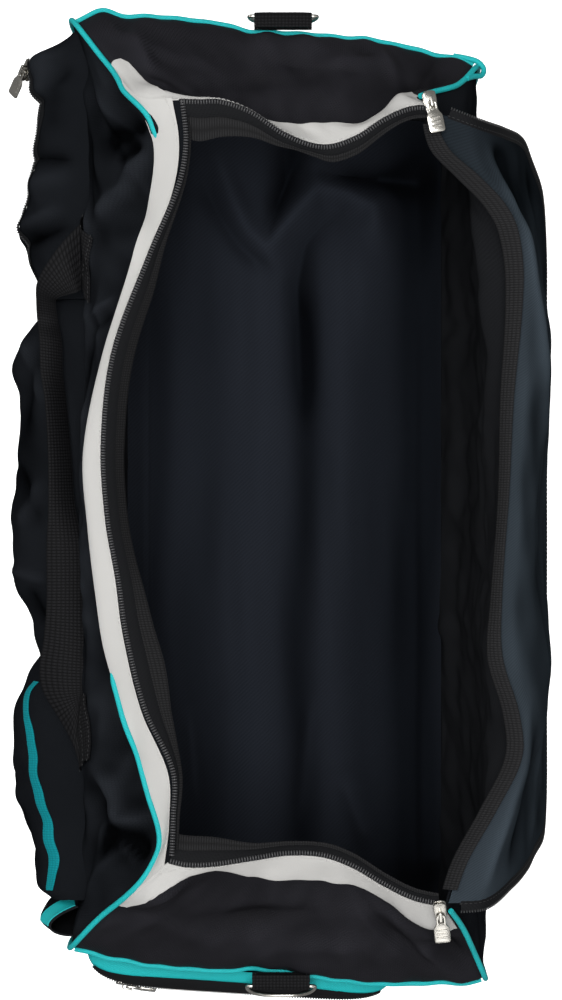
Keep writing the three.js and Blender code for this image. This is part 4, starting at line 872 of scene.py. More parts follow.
def woven_threads():
    """Threads that cross over and under each other: a plain weave, or a twill with slanting lines."""
    tree = bpy.data.node_groups.get("Woven threads")
    if tree:
        return tree
    tree, t, given, result = new_group(
        "Woven threads", "ShaderNodeTree",
        {"Vector": ("Vector",), "Threads": ("Float", 900.0), "Twill": ("Float", 0.0)},
        {"Height": ("Float",), "Shade": ("Float",)})
    scaled = t.add("ShaderNodeVectorMath", {0: given["Vector"], "Scale": given["Threads"]}, operation="SCALE")
    part = t.add("ShaderNodeSeparateXYZ", {0: scaled.outputs[0]}).outputs
    warp = t.math("SINE", t.math("MULTIPLY", part[0], math.pi))
    weft = t.math("SINE", t.math("MULTIPLY", part[1], math.pi))
    plain = t.math("GREATER_THAN", t.math("MULTIPLY", warp, weft), 0.0)
    slant = t.math("FRACT", t.math("MULTIPLY", t.math("ADD", part[0], part[1]), .25))
    twill = t.math("GREATER_THAN", slant, .5)
    over = t.mix(given["Twill"], plain, twill)
    height = t.mix(over, t.math("ABSOLUTE", weft), t.math("ABSOLUTE", warp))
    shade = t.math("MULTIPLY_ADD", over, .45, t.math("MULTIPLY", height, .55))
    t.join(result, {"Height": height, "Shade": shade})
    return tree


def ribbed_tape():
    """Close ribs across a tape, broken into dots by its lengthwise threads."""
    tree = bpy.data.node_groups.get("Ribbed tape")
    if tree:
        return tree
    tree, t, given, result = new_group(
        "Ribbed tape", "ShaderNodeTree",
        {"Vector": ("Vector",), "Ribs": ("Float", 500.0), "Rows": ("Float", 600.0)},
        {"Height": ("Float",), "Shade": ("Float",)})
    part = t.add("ShaderNodeSeparateXYZ", {0: given["Vector"]}).outputs
    rib, row = (
        t.math("ABSOLUTE", t.math("SINE", t.math("MULTIPLY", t.math("MULTIPLY", part[k], given[word]), math.pi)))
        for k, word in enumerate(("Ribs", "Rows")))
    height = t.math("MULTIPLY", t.math("POWER", rib, .7), t.math("MULTIPLY_ADD", row, .75, .25))
    t.join(result, {"Height": height, "Shade": t.math("MULTIPLY_ADD", height, .8, .1)})
    return tree


def cloth_fade():
    """Slow changes of shade over a piece, and fine lint."""
    tree = bpy.data.node_groups.get("Cloth fade")
    if tree:
        return tree
    tree, t, given, result = new_group(
        "Cloth fade", "ShaderNodeTree", {"Vector": ("Vector",), "Size": ("Float", CLOTH_FADE_SIZE)},
        {"Fade": ("Float",), "Lint": ("Float",)})
    slow = t.add("ShaderNodeTexNoise", {"Vector": given["Vector"], "Scale": given["Size"], "Detail": 4.0})
    fine = t.add("ShaderNodeTexNoise", {"Vector": given["Vector"], "Scale": 420.0, "Detail": 2.0})
    t.join(result, {"Fade": slow.outputs[0], "Lint": fine.outputs[0]})
    return tree


def shades(colour, spread):
    """A darker and a lighter shade of a colour."""
    dark = tuple(max(c * (1 - spread), 0) for c in colour) + (1.0,)
    light = tuple(min(c * (1 + spread), 1) for c in colour) + (1.0,)
    return dark, light


def new_finish(name, specular, **fixed):
    """A material with its unvarying values set on the shader."""
    material = bpy.data.materials.new(name)
    material.use_nodes = True
    shader = material.node_tree.nodes["Principled BSDF"]
    shader.inputs["Specular IOR Level"].default_value = specular
    for key, value in fixed.items():
        shader.inputs[key.replace("_", " ")].default_value = value
    return material, Tree(material.node_tree), shader


def join_finish(t, shader, colour, spread, shade, rough, fade, height, bump, lint, depth, painted_shade=None):
    """Joins what varies over a piece to the shader: colour, roughness and relief. The last argument scales the colour
    with painted shade and painted highlight.
    """
    dark, light = shades(colour, spread)
    colour = t.blend(shade, dark, light)
    if painted_shade:
        colour = t.add("ShaderNodeVectorMath", {0: colour, "Scale": painted_shade}, operation="SCALE").outputs[0]
    rough = t.add("ShaderNodeMapRange", {0: fade, 1: .3, 2: .7, 3: rough - .05, 4: rough + .05}).outputs[0]
    under = t.add("ShaderNodeBump", {"Strength": .25, "Distance": depth, "Height": lint}).outputs[0]
    over = t.add("ShaderNodeBump", {"Strength": bump, "Distance": depth, "Height": height, "Normal": under})
    t.join(shader, {"Base Color": colour, "Roughness": rough, "Normal": over.outputs[0]})


def cloth_finish(name, colour, threads, twill, rough, bump, spread, specular, ribs=None, fall=None, woven=.6, **fixed):
    """Woven cloth, or a ribbed tape where `ribs` gives its ribs and rows a metre. `fall` darkens it from one height
    down to another as painted shade, and `woven` is the weave's part in its shade. The mesh's `rise` attribute paints
    shade into its hollows and a highlight onto its ridges."""
    material, t, shader = new_finish(name, specular, **fixed)
    uv = t.add("ShaderNodeUVMap", uv_map="UVMap").outputs[0]
    if ribs:
        weave = t.group(ribbed_tape(), {"Vector": uv, "Ribs": ribs[0], "Rows": ribs[1]})
    else:
        weave = t.group(woven_threads(), {"Vector": uv, "Threads": threads, "Twill": twill})
    place = t.add("ShaderNodeTexCoord").outputs["Object"]
    fade = t.group(cloth_fade(), {"Vector": place, "Size": CLOTH_FADE_SIZE})
    shade = t.math("MULTIPLY_ADD", weave["Shade"], woven, t.math("MULTIPLY", fade["Fade"], 1 - woven))
    # painted shade: the colour darkens from one height down to another
    if fall:
        height = t.add("ShaderNodeSeparateXYZ", {0: place}).outputs[2]
        dim = t.add("ShaderNodeMapRange", {0: height, 1: fall[1], 2: fall[0], 3: fall[2], 4: 1.0}).outputs[0]
        shade = t.math("MULTIPLY", shade, dim)
    # painted shade and highlight: the colour darkens in hollows and lightens on ridges, following the mesh's rise
    # attribute
    rise = t.add("ShaderNodeAttribute", attribute_name="rise").outputs["Fac"]
    painted_shade = t.add("ShaderNodeMapRange", {0: rise, 1: -1.0, 2: 1.0, 3: HOLLOW_SHADE, 4: RIDGE_SHADE}).outputs[0]
    join_finish(t, shader, colour, spread, shade, rough, fade["Fade"], weave["Height"], bump, fade["Lint"],
                CLOTH_RELIEF, painted_shade)
    return material


def hard_finish(name, colour, rough, grain, bump, spread, specular=.5, size=30.0, metal=0.0, **fixed):
    """Moulded plastic, rubber or metal: a fine grain and slow changes of shade."""
    material, t, shader = new_finish(name, specular, Metallic=metal, **fixed)
    place = t.add("ShaderNodeTexCoord").outputs["Object"]
    fade = t.group(cloth_fade(), {"Vector": place, "Size": size})
    pebble = t.add("ShaderNodeTexNoise", {"Vector": place, "Scale": grain, "Detail": 3.0}).outputs[0]
    shade = t.math("MULTIPLY_ADD", pebble, .5, t.math("MULTIPLY", fade["Fade"], .5))
    join_finish(t, shader, colour, spread, shade, rough, fade["Fade"], pebble, bump, fade["Lint"], HARD_RELIEF)
    return material


# colour, threads a metre, twill, roughness, relief, spread of shade, specular, the rest
CLOTH_FINISHES = {
    "black cloth": ("black_cloth", 760, 0, .55, .6, .5, 0, {}),
    # a lighter copy of the black cloth: painted light on the upward-facing tops
    "charcoal cloth": ("charcoal_cloth", 620, 0, .6, .7, .4, .06, {}),
    "turquoise cloth": ("turquoise_cloth", 760, 0, .65, .5, .22, .25, {}),
    "lining cloth": ("lining", 900, 1, .5, .3, .55, .035, {"Specular_Tint": (.60, .74, 1.0, 1.0)}),
    "side lining": ("side_lining", 900, 1, .8, .4, .4, 0, {}),
    # the lid cloth is painted darker towards its low edge as shade
    "lid cloth": ("lid_cloth", 1500, 1, .7, .6, .45, 0, {"fall": (.34, .25, .4)}),
    "white facing": ("white_facing", 1300, 0, .6, .2, .05, .3, {}),
    "zip tape": ("zip_tape", 1100, 1, .65, .5, .4, .04, {}),
    "ribbed binding": ("binding", 0, 0, .65, .9, .8, .06, {"ribs": (420, 360), "woven": .8}),
    "turquoise piping": ("piping", 1200, 1, .55, .5, .2, .3, {}),
    "turquoise webbing": ("trim", 0, 0, .6, .9, .4, .1, {"ribs": (420, 300)}),
    "black webbing": ("webbing", 0, 0, .6, 1, .95, .05, {"ribs": (330, 300), "woven": .9}),
}
# colour, roughness, grain, relief, spread of shade, the rest
HARD_FINISHES = {
    "zip teeth": ("teeth", .34, 600, .15, .2, {}),
    "black thread": ("zip_tape", .6, 900, .3, .4, {}),
    "white thread": ("white_facing", .6, 900, .3, .06, {}),
    "nickel plate": ("nickel", .26, 260, .12, .1, {"metal": 1.0}),
    "black plastic": ("plastic", .48, 1400, .35, .2, {}),
    "black rubber": ("rubber", .82, 900, .5, .2, {"specular": .3}),
}


def finish_of(name):
    """The finish of that name, made once."""
    material = bpy.data.materials.get(name)
    if material:
        return material
    soft = name in CLOTH_FINISHES
    colour, *values, more = (CLOTH_FINISHES if soft else HARD_FINISHES)[name]
    return (cloth_finish if soft else hard_finish)(name, getattr(colours(), colour), *values, **more)


def row_tree(kind):
    """Nodes that set one small shape at every place of a row: zip teeth or stitches."""
    name = f"Row of {kind}"
    tree = bpy.data.node_groups.get(name)
    if tree:
        return tree
    tree, t, given, result = new_group(
        name, "GeometryNodeTree",
        {"Geometry": ("Geometry",), "Length": ("Float", .003), "Width": ("Float", .001), "Height": ("Float", .001),
         "Finish": ("Material",)},
        {"Geometry": ("Geometry",)})
    if kind == "teeth":
        bar = t.add("GeometryNodeMeshCylinder", {"Vertices": 7, "Radius": .5, "Depth": 1.0})
        shape = t.add("GeometryNodeTransform", {0: bar.outputs[0], "Rotation": (math.pi / 2, 0, 0)}).outputs[0]
    else:
        shape = t.add("GeometryNodeMeshUVSphere", {"Segments": 6, "Rings": 4, "Radius": .5}).outputs[0]
    size = t.add("ShaderNodeCombineXYZ", {0: given["Length"], 1: given["Width"], 2: given["Height"]}).outputs[0]
    shape = t.add("GeometryNodeTransform", {0: shape, "Scale": size}).outputs[0]
    way = {}
    for word in ("along", "up"):
        node = t.add("GeometryNodeInputNamedAttribute", {"Name": word}, data_type="FLOAT_VECTOR")
        way[word] = node.outputs[0]
    turn = t.add("FunctionNodeAlignRotationToVector", {"Vector": way["along"]}, axis="X")
    turn = t.add("FunctionNodeAlignRotationToVector", {"Rotation": turn.outputs[0], "Vector": way["up"]},
                 axis="Z", pivot_axis="X")
    set_out = t.add("GeometryNodeInstanceOnPoints", {"Points": given["Geometry"], "Instance": shape,
                                                     "Rotation": turn.outputs[0]})
    real = t.add("GeometryNodeRealizeInstances", {0: set_out.outputs[0]})
    soft = t.add("GeometryNodeSetShadeSmooth", {0: real.outputs[0]})
    done = t.add("GeometryNodeSetMaterial", {0: soft.outputs[0], "Material": given["Finish"]})
    t.join(result, {0: done.outputs[0]})
    return tree


def row_mesh(name, kind, rows, size, finish):
    """Zip teeth or stitches at rows of places: each row holds points, the way along and the way up."""
    points, along, up = (np.concatenate([row[k] for row in rows]) for k in range(3))
    mesh = bpy.data.meshes.new(name)
    mesh.from_pydata(((points + SHIFT) * MM).tolist(), [], [])
    for word, value in (("along", along), ("up", up)):
        mesh.attributes.new(word, "FLOAT_VECTOR", "POINT").data.foreach_set("vector", value.astype(np.float32).ravel())
    carrier = bpy.data.objects.new(name + "_row", mesh)
    bpy.context.scene.collection.objects.link(carrier)
    modifier = carrier.modifiers.new("Row", "NODES")
    tree = row_tree(kind)
    modifier.node_group = tree
    given = {item.name: item.identifier for item in tree.interface.items_tree if item.in_out == "INPUT"}
    for word, value in zip(("Length", "Width", "Height"), size):
        modifier[given[word]] = value * MM
    modifier[given["Finish"]] = finish_of(finish)
    bpy.context.view_layer.update()
    seen = bpy.context.evaluated_depsgraph_get()
    made = bpy.data.meshes.new_from_object(carrier.evaluated_get(seen), depsgraph=seen)
    made.name = name
    bpy.data.objects.remove(carrier)
    bpy.data.meshes.remove(mesh)
    if not made.polygons:
        raise RuntimeError(f"{name}: no {kind} were made")
    return made


def row_on_grid(grid, column, pitch, lift):
    """A row along one column of a grid, that far off it."""
    normal = grid_normals(grid)
    path = grid[:, column] + normal[:, column] * lift
    points, along = even_path(path, pitch)
    where = np.array([np.argmin(np.linalg.norm(path - p, axis=-1)) for p in points])
    return points, along, normal[where, column] * (1 if lift >= 0 else -1)


def stitches(name, rows, finish, slot):
    return piece(name, row_mesh(name, "stitches", rows, (mm("stitch"), *STITCH), finish), "bag", slot)


def zip_teeth(name, rows, length, width, height, finish):
    return piece(name, row_mesh(name, "teeth", rows, (length, width, height), finish), "bag", "zip_tape")


# -------------------------------------------------------------------------------------------- operators
class ROLLINGBAG_OT_walls(bpy.types.Operator):
    """Sew the walls, the sloping tops of the ends and the floor"""

    bl_idname = "rolling_bag.walls"
    bl_label = "Walls and floor"

    # name, node, side, v from, v to, columns, rows, finish, slot
    PANELS = (
        ("front_wall", "front_panel", "front", .012, 1, 260, 100, "black cloth", "black_cloth"),
        ("back_wall", "back_panel", "back", .012, 1, 180, 80, "black cloth", "black_cloth"),
        ("far_end", "far_end_panel", "far", .012, .56, 130, 60, "turquoise cloth", "turquoise_cloth"),
        ("near_end", "near_end_panel", "near", .012, .56, 130, 60, "turquoise cloth", "turquoise_cloth"),
        # the sloping tops take a lighter copy of the black cloth, as painted light
        ("far_top", "far_shoulder", "far", .56, 1, 150, 80, "charcoal cloth", "charcoal_cloth"),
        ("near_top", "near_shoulder", "near", .56, 1, 150, 80, "charcoal cloth", "charcoal_cloth"),
    )

    CREASE_DEPTH = {"front": 9, "back": None, "far": 18, "near": 18}  # depth that counts as a full ridge or hollow of painted shade

    def execute(self, context):
        for name, node, side, low, high, columns, rows, finish, slot in self.PANELS:
            _, _, outward, turn, length = SIDES[side]
            gap, depth = PANEL_GAP / length, self.CREASE_DEPTH[side]
            t, v = even_places((gap, 1 - gap, columns), (low, high, rows))
            grid = wall(side, t, v, True)
            # painted shade: the wall's colour darkens in its crease hollows and lightens on its ridges
            rise = (grid - wall(side, t, v)) @ (np.array(outward) + (0, 0, 1)) / depth if depth else None
            sewn(name, grid, 0, -mm("cloth") * turn, (finish, "side lining"), slot, node, rise=rise)
        self.floor()
        return {"FINISHED"}

    def floor(self):
        a, b = even_places((0, 1, 200), (0, 1, 150))
        gap = FLOOR["gap"] / SIDES["front"].length
        t = lerp(gap, 1 - gap, a)
        front, back = wall("front", t, np.zeros_like(t)), wall("back", t, np.zeros_like(t))
        grid = front + (back - front) * lerp(.001, .999, b)[..., None]
        under = grid.copy()
        under[..., 2] -= FLOOR["below"] + FLOOR["belly"] * (ends(a, .12) * ends(b, .12))
        ease = ends(a, .06) * ends(b, .08)
        x, y = grid[..., 0], grid[..., 1]
        for reach, length, start in FLOOR_SWAY:
            x = x - reach * np.sin(y / length + start)
        rise = crease_height(CREASES["floor"], grid)
        # painted shade: the floor's colour darkens in its crease hollows and lightens on its ridges
        shade = rise / FLOOR["crease_depth"]
        for start, width, height, dark, until in FLOOR_STEPS:
            place = (x - start) / width
            rise = rise + height * smooth(place) * smooth((330 - y) / 120)
            # painted shade: a dark band along each step
            shade = shade - dark * np.exp(-((2 * place - 1) / .9) ** 2) * smooth((until - y) / 140)
        grid[..., 2] += FLOOR["lift"] + ease * rise
        sides = window(a, .02, .04, .98, .04)
        left = FLOOR["turn_up"] * smooth((-140 - grid[..., 0]) / 22) * sides
        right = FLOOR["turn_up"] * smooth((grid[..., 0] - 146) / 22) * sides
        grid[..., 0] += .27 * right - .4 * left
        grid[..., 1] += .3 * (1 - smooth(a / .015)) - .3 * (1 - smooth((1 - a) / .015))
        grid[..., 2] += FLOOR["far_rise"] * np.sin(math.pi * b) * (1 - smooth(a / .03))
        grid[..., 2] += left + right + ease * .9 * ripples(grid[..., 0] * 3, grid[..., 1] * .6, 11, 160)
        thick = mm("floor_cloth")
        grid[..., 2] = np.maximum(grid[..., 2], under[..., 2] + thick)
        sewn("floor_lining", grid, 0, -thick, ("lining cloth", "black cloth"), "lining", "base_panel", rise=shade,
             under=under)


class ROLLINGBAG_OT_mouth(bpy.types.Operator):
    """Sew the white facing, the zip tape and the bound seam round the mouth"""

    bl_idname = "rolling_bag.mouth"
    bl_label = "Mouth"

    NODES = (("white_facing", "rim_band", "white_facing"), ("mouth_zip_tape", "rim_zip_tape", "zip_tape"),
             ("mouth_binding", "rim_binding", "zip_tape"))  # name, node, slot

    def execute(self, context):
        tape, facing = mm("tape"), mm("facing")
        made = {name: [] for name, _, _ in self.NODES}
        seams, teeth = [], []
        for side, end in MOUTH_ENDS.items():
            turn = SIDES[side].turn
            count = 260 if side == "front" else 140
            along = np.concatenate([np.linspace(-.004, .1, 70)[:-1], np.linspace(.1, .9, count - 70),
                                    np.linspace(.9, end + .004 * (end == 1), 70)[1:]])
            t, f = mesh_places(along, np.linspace(0, 1, 14))
            outer, inner = (np.interp(t, *np.array(rows[side]).T) for rows in (FACING, FACING_INNER))
            cover = window(t, CORD_UNDER[0], .025, CORD_UNDER[1], .05) if side == "front" else 0 * t
            lift = FACING_LIFT * (1 + cover * (1 - f) ** 2)
            grid = off_wall(side, t, lerp(outer, inner, f), lift, side != "front")
            made["white_facing"].append(sheet_mesh("facing", grid, 0, facing * turn, ("white facing",), .7))
            seams.append(row_on_grid(grid, 12, mm("stitch_pitch"), (facing + .1) * turn))
            t, f = even_places((.002, end - .01, count), (0, 1, 9))
            run, dip, run_2, dip_2 = (follow(LIP[side], t, k) for k in (1, 2, 3, 4))
            strip = lip(side, t, lerp(-1, run, f), lerp(-1.2, dip, f**1.6))
            made["mouth_zip_tape"].append(sheet_mesh("tape", strip, 0, tape * turn, ("zip tape",), .5))
            bound = lip(side, t, lerp(run - 1, run_2, f), lerp(dip + .6, dip_2, f))
            made["mouth_binding"].append(sheet_mesh("binding", bound, 0, tape * turn, ("ribbed binding",), .6))
            line = lip(side, t[:, :3], np.array([.2, 1.2, 2.2]) + 0 * t[:, :3], -1.6 + 0 * t[:, :3])
            teeth.append(row_on_grid(line, 1, mm("tooth_pitch"), .5 * turn))
        for name, node, slot in self.NODES:
            piece(name, join_meshes(name, made[name], Matrix.Identity(4), False), "bag", slot, node)
        stitches("facing_stitches", seams, "white thread", "white_facing")
        zip_teeth("mouth_teeth", teeth, 1.45, mm("tooth_width"), 1.9, "zip teeth")
        return {"FINISHED"}


class ROLLINGBAG_OT_lid(bpy.types.Operator):
    """Hang the lid over the back edge, with its zip and bound hinge"""

    bl_idname = "rolling_bag.lid"
    bl_label = "Lid"

    def execute(self, context):
        tape = mm("tape")
        t, s = mesh_places(np.linspace(0, 1, 200), np.concatenate([np.linspace(.012, .8, 62), np.linspace(.81, 1, 34)]))
        grid = lid_round(t, s, True)
        # painted shade: the lid darkens in its crease hollows, lightens on its ridges, and darkens towards its far end
        rise = (grid - lid_round(t, s)) @ LID_WAY / SOFT_DEPTH - .6 * smooth((.2 - t) / .18)
        lid = sewn("lid", grid, 0, -mm("cloth"), ("lid cloth", "black cloth"), "lining", "lid_panel", rise=rise)

        rim_s = np.concatenate([np.linspace(.04, .8, 43), np.linspace(.81, .985, 24)])
        along = np.linspace(0, 1, 180)
        rim_t = np.concatenate([np.zeros(len(rim_s)), along, np.ones(len(rim_s))])
        rim_s = np.concatenate([rim_s, np.ones(len(along)), rim_s[::-1]])
        edge = lid_round(rim_t, rim_s)
        way = unit(np.gradient(edge, axis=0))
        out = edge - lid_round(lerp(rim_t, .5, .08), lerp(rim_s, .5, .08))
        out = unit(out - way * (out * way).sum(-1, keepdims=True))
        strip = np.stack([edge + out * w for w in np.linspace(-2, 8, 8)], axis=1)
        band = sewn("lid_zip_band", strip, .6, -tape - .6, ("zip tape",), "zip_tape", "lid_zip_tape", .4)
        teeth = row_on_grid(strip, 7, mm("tooth_pitch"), .2)
        row = zip_teeth("lid_teeth", [teeth], 1.4, mm("tooth_width") / 2, 1.6, "black plastic")
        seam = row_on_grid(strip, 2, mm("stitch_pitch"), .9)
        seam = stitches("lid_stitches", [seam], "black thread", "zip_tape")

        a, b = even_places((.02, .98, 240), (0, 1, 11))
        hinge = wall("back", a, np.ones_like(a))
        hinge[..., 0] += lerp(follow(HINGE_STRIP, a, 1), follow(HINGE_STRIP, a, 2), b)
        hinge[..., 2] += 1 + 6 * np.sin(b * 1.4)
        sewn("hinge_strip", hinge, 0, tape, ("ribbed binding",), "zip_tape", "hinge_binding", .6)
        return {"FINISHED"}


class ROLLINGBAG_OT_piping(bpy.types.Operator):
    """Lay the turquoise piping in the seams"""

    bl_idname = "rolling_bag.piping"
    bl_label = "Piping"

    def execute(self, context):
        radius = mm("piping")
        rows = np.array(PIPING_ROWS)
        far, near = (np.array(PIPING_TURN[end]).T for end in ("far", "near"))
        start, end = off_wall("front", *far), off_wall("front", 1 - near[0], *near[1:])
        t = np.linspace(.045, .96, 90)
        sunk = window(t, CORD_UNDER[0], .014, CORD_UNDER[1], .03)
        hidden = window(t, CORD_UNDER[0] + .012, .02, CORD_UNDER[1] - .03, .03)
        seam, creased = (off_wall("front", t, SEAM["v"] + .03 * hidden, 2.1 - 3.4 * sunk + .7 * hidden, fine)
                         for fine in (False, True))
        seam = lerp(seam, creased, hidden[:, None])
        path = [self.corner("front", 0, rows), start, seam, end[::-1], self.corner("front", 1, rows)[::-1]]
        self.lay("front_cord", np.concatenate(path), radius, "front_piping")
        for name, t in (("far", 0), ("near", 1)):
            points = self.corner("back", t, np.concatenate([rows, [.8, .84, .88, .91], [.95, .985] * t]))
            points[:, 2] += 3 * smooth((np.arange(len(points)) - len(rows) + 2) / 3)
            self.lay(f"back_cord_{name}", points, radius, f"back_piping_{name}")
        self.lay("far_corner_cord", np.array(CORNER_LOOP, float), radius, None)
        for name in ("far", "near"):
            t = np.linspace(.008, .992, 60)
            self.lay(f"{name}_end_cord", off_wall(name, t, np.full_like(t, SHOULDER_V), 1.2, True), radius,
                     f"{name}_end_piping")
        return {"FINISHED"}

    def corner(self, side, t, v):
        """Points of the upright seam at one end of a side, just off its cloth."""
        out = np.array(SIDES[side].out) + (0, 1 - 2 * t, 0)
        return wall(side, np.full(len(v), t), np.array(v)) + out * mm("cloth") * .7

    def lay(self, name, points, radius, node):
        path = smooth_path(points, 3)
        if name == "front_cord":
            radius = radius * (1 - .7 * smooth((346 - path[:, 1]) / 12) * smooth((path[:, 1] + 174) / 26))
        mesh = cord_mesh(name, path, radius, 12, ("turquoise piping",))
        piece(name, mesh, "bag", "turquoise_piping", *([node] if node else []))


class ROLLINGBAG_OT_pockets(bpy.types.Operator):
    """Sew the front pockets, the bottle pocket and the end pocket"""

    bl_idname = "rolling_bag.pockets"
    bl_label = "Pockets"

    def execute(self, context):
        cloth, tape = mm("cloth"), mm("tape")
        lift = -cloth - TRIM_GAP
        places = even_places((0, 1, 110), (0, 1, 72))
        for name in POCKETS:
            grid = pocket_point(name, *places)
            # painted shade: the pouch darkens in its dent and crease hollows and lightens on their ridges
            rise = (grid - pocket_point(name, *places, False)) @ POUCH_WAY / SOFT_DEPTH
            sewn(f"{name}_pouch", grid, 0, -cloth, ("side lining", "black cloth"), "black_cloth", f"{name}_pocket",
                 rise=rise)
        sewn("near_pouch_trim", self.strip("near", NEAR_STRIP, .04), lift, -tape, ("turquoise webbing",),
             "turquoise_cloth", "near_pocket_strip", .5)
        strip = self.strip("far", FAR_ZIP, .08)
        sewn("far_pouch_zip", strip, lift, -tape, ("zip tape",), "zip_tape", "far_pocket_zip", .5)
        self.teeth("far_pouch_teeth", strip, 4)

        a, b = even_places((0, 1, 60), (0, 1, 50))
        sewn("bottle_pouch", bottle_point(a, b), 0, -cloth, ("side lining", "black cloth"), "black_cloth",
             "bottle_pocket")
        a, b = even_places((.01, .54, 40), (-.01, .15, 8))
        sewn("bottle_rim", bottle_point(a, np.maximum(b, 0)), lift, -tape, ("turquoise piping",), "turquoise_cloth",
             "bottle_pocket_binding", .5)

        sewn("end_pouch", end_pocket_point(*places), 0, -cloth, ("side lining", "turquoise cloth"), "turquoise_cloth",
             "end_pocket")
        a, b = even_places((.03, .97, 150), (-.5, .5, 9))
        strip = end_pocket_point(a, .088 + .02 * (2 * a - 1) ** 4 + b * .16)
        sewn("end_pouch_zip", strip, lift, -tape, ("zip tape",), "zip_tape", "end_pocket_zip", .5)
        self.teeth("end_pouch_teeth", strip, 6)
        return {"FINISHED"}

    def teeth(self, name, strip, column):
        row = row_on_grid(strip, column, mm("tooth_pitch"), -mm("cloth") - mm("tape") - .8)
        zip_teeth(name, [row], 1.7, mm("tooth_width"), 1.9, "black plastic")

    def strip(self, name, rows, width):
        a, b = even_places((rows[0][0], rows[-1][0], 150), (-.5, .5, 9))
        return pocket_point(name, a, follow(rows, a) + b * width)


class ROLLINGBAG_OT_straps(bpy.types.Operator):
    """Lay the webbing of the carry handle and the end tabs"""

    bl_idname = "rolling_bag.straps"
    bl_label = "Handle and tabs"

    def execute(self, context):
        thick = mm("webbing")
        a, b = even_places((0, 1, 260), (0, 1, 29))
        pitch = mm("stitch_pitch")
        rows, patches = [], []
        for start, end, low, high in HANDLE_PATCHES:
            t, v = even_places((start, end, 40), (low, high, 15))
            lift = 1.2 + 1.4 * np.abs(np.sin((v - low) / (high - low) * 2 * math.pi))
            patch = off_wall("front", t, v, lift, True)
            patches.append(sheet_mesh("patch", patch, 0, thick / 2, ("black webbing",), .6))
            rows += [row_on_grid(patch, k, pitch, thick / 2 + .2) for k in (1, 7, 13)]
        patches.append(sheet_mesh("loop", handle_point(a, b), -thick / 2, thick, ("black webbing",), .5))
        piece("handle_strap", join_meshes("handle_strap", patches, Matrix.Identity(4), False), "bag", "black_webbing",
              "carry_handle")
        stitches("handle_stitches", rows, "black thread", "black_webbing")
        for name, (x, out, z, tilt, _) in TABS.items():
            sign = SIDES[name].out[1]
            half = TAB["height"] / 2 - thick / 2
            arc = np.linspace(math.pi / 2, -math.pi / 2, 20)
            flat = np.linspace(-3, TAB["reach"] - TAB["height"] / 2, 8)[:-1]
            reach = np.concatenate([flat, flat[-1] + 1 + half * np.cos(arc), flat[::-1]])
            rise = np.concatenate([np.full(7, half), half * np.sin(arc), np.full(7, -half)])
            across = np.linspace(-TAB["width"] / 2, TAB["width"] / 2, 36)
            grid = np.stack(np.broadcast_arrays(across[None, :], reach[:, None] * sign, rise[:, None]), axis=-1)
            grid = tilted(grid, x, out * sign, z, -math.radians(tilt) * sign)
            sewn(f"{name}_tab_webbing", grid, -thick / 2, thick, ("black webbing",), "black_webbing", f"{name}_tab", .4)
            rows = [row_on_grid(grid[:7], k, pitch, thick / 2 * sign + .2 * sign) for k in (2, 33)]
            stitches(f"{name}_tab_stitches", rows, "black thread", "black_webbing")
        return {"FINISHED"}


class ROLLINGBAG_OT_dees(bpy.types.Operator):
    """Bend the steel dees of the end tabs"""

    bl_idname = "rolling_bag.dees"
    bl_label = "Dees"

    def execute(self, context):
        for name, (x, out, z, tilt, lean) in TABS.items():
            sign = SIDES[name].out[1]
            half = np.array(DEE_HALF, float)
            right = np.stack([half[:, 0], np.zeros(len(half)), -half[:, 1]], axis=-1)
            left = right[::-1] * (-1, 1, 1)
            path = np.concatenate([right, left, right[:1]])
            path = smooth_path(path, 1.2)[:-1]
            path = tilted(path, 0, sign * (TAB["reach"] - TAB["height"] / 2), 0, math.radians(lean) * sign)
            path = tilted(path, x, out * sign, z, -math.radians(tilt) * sign)
            mesh = cord_mesh(f"{name}_dee_wire", path, mm("dee_wire"), 12, ("nickel plate",), True)
            piece(f"{name}_dee_wire", outward_faces(mesh, 70), f"{name}_dee", "nickel", f"{name}_ring")
        return {"FINISHED"}


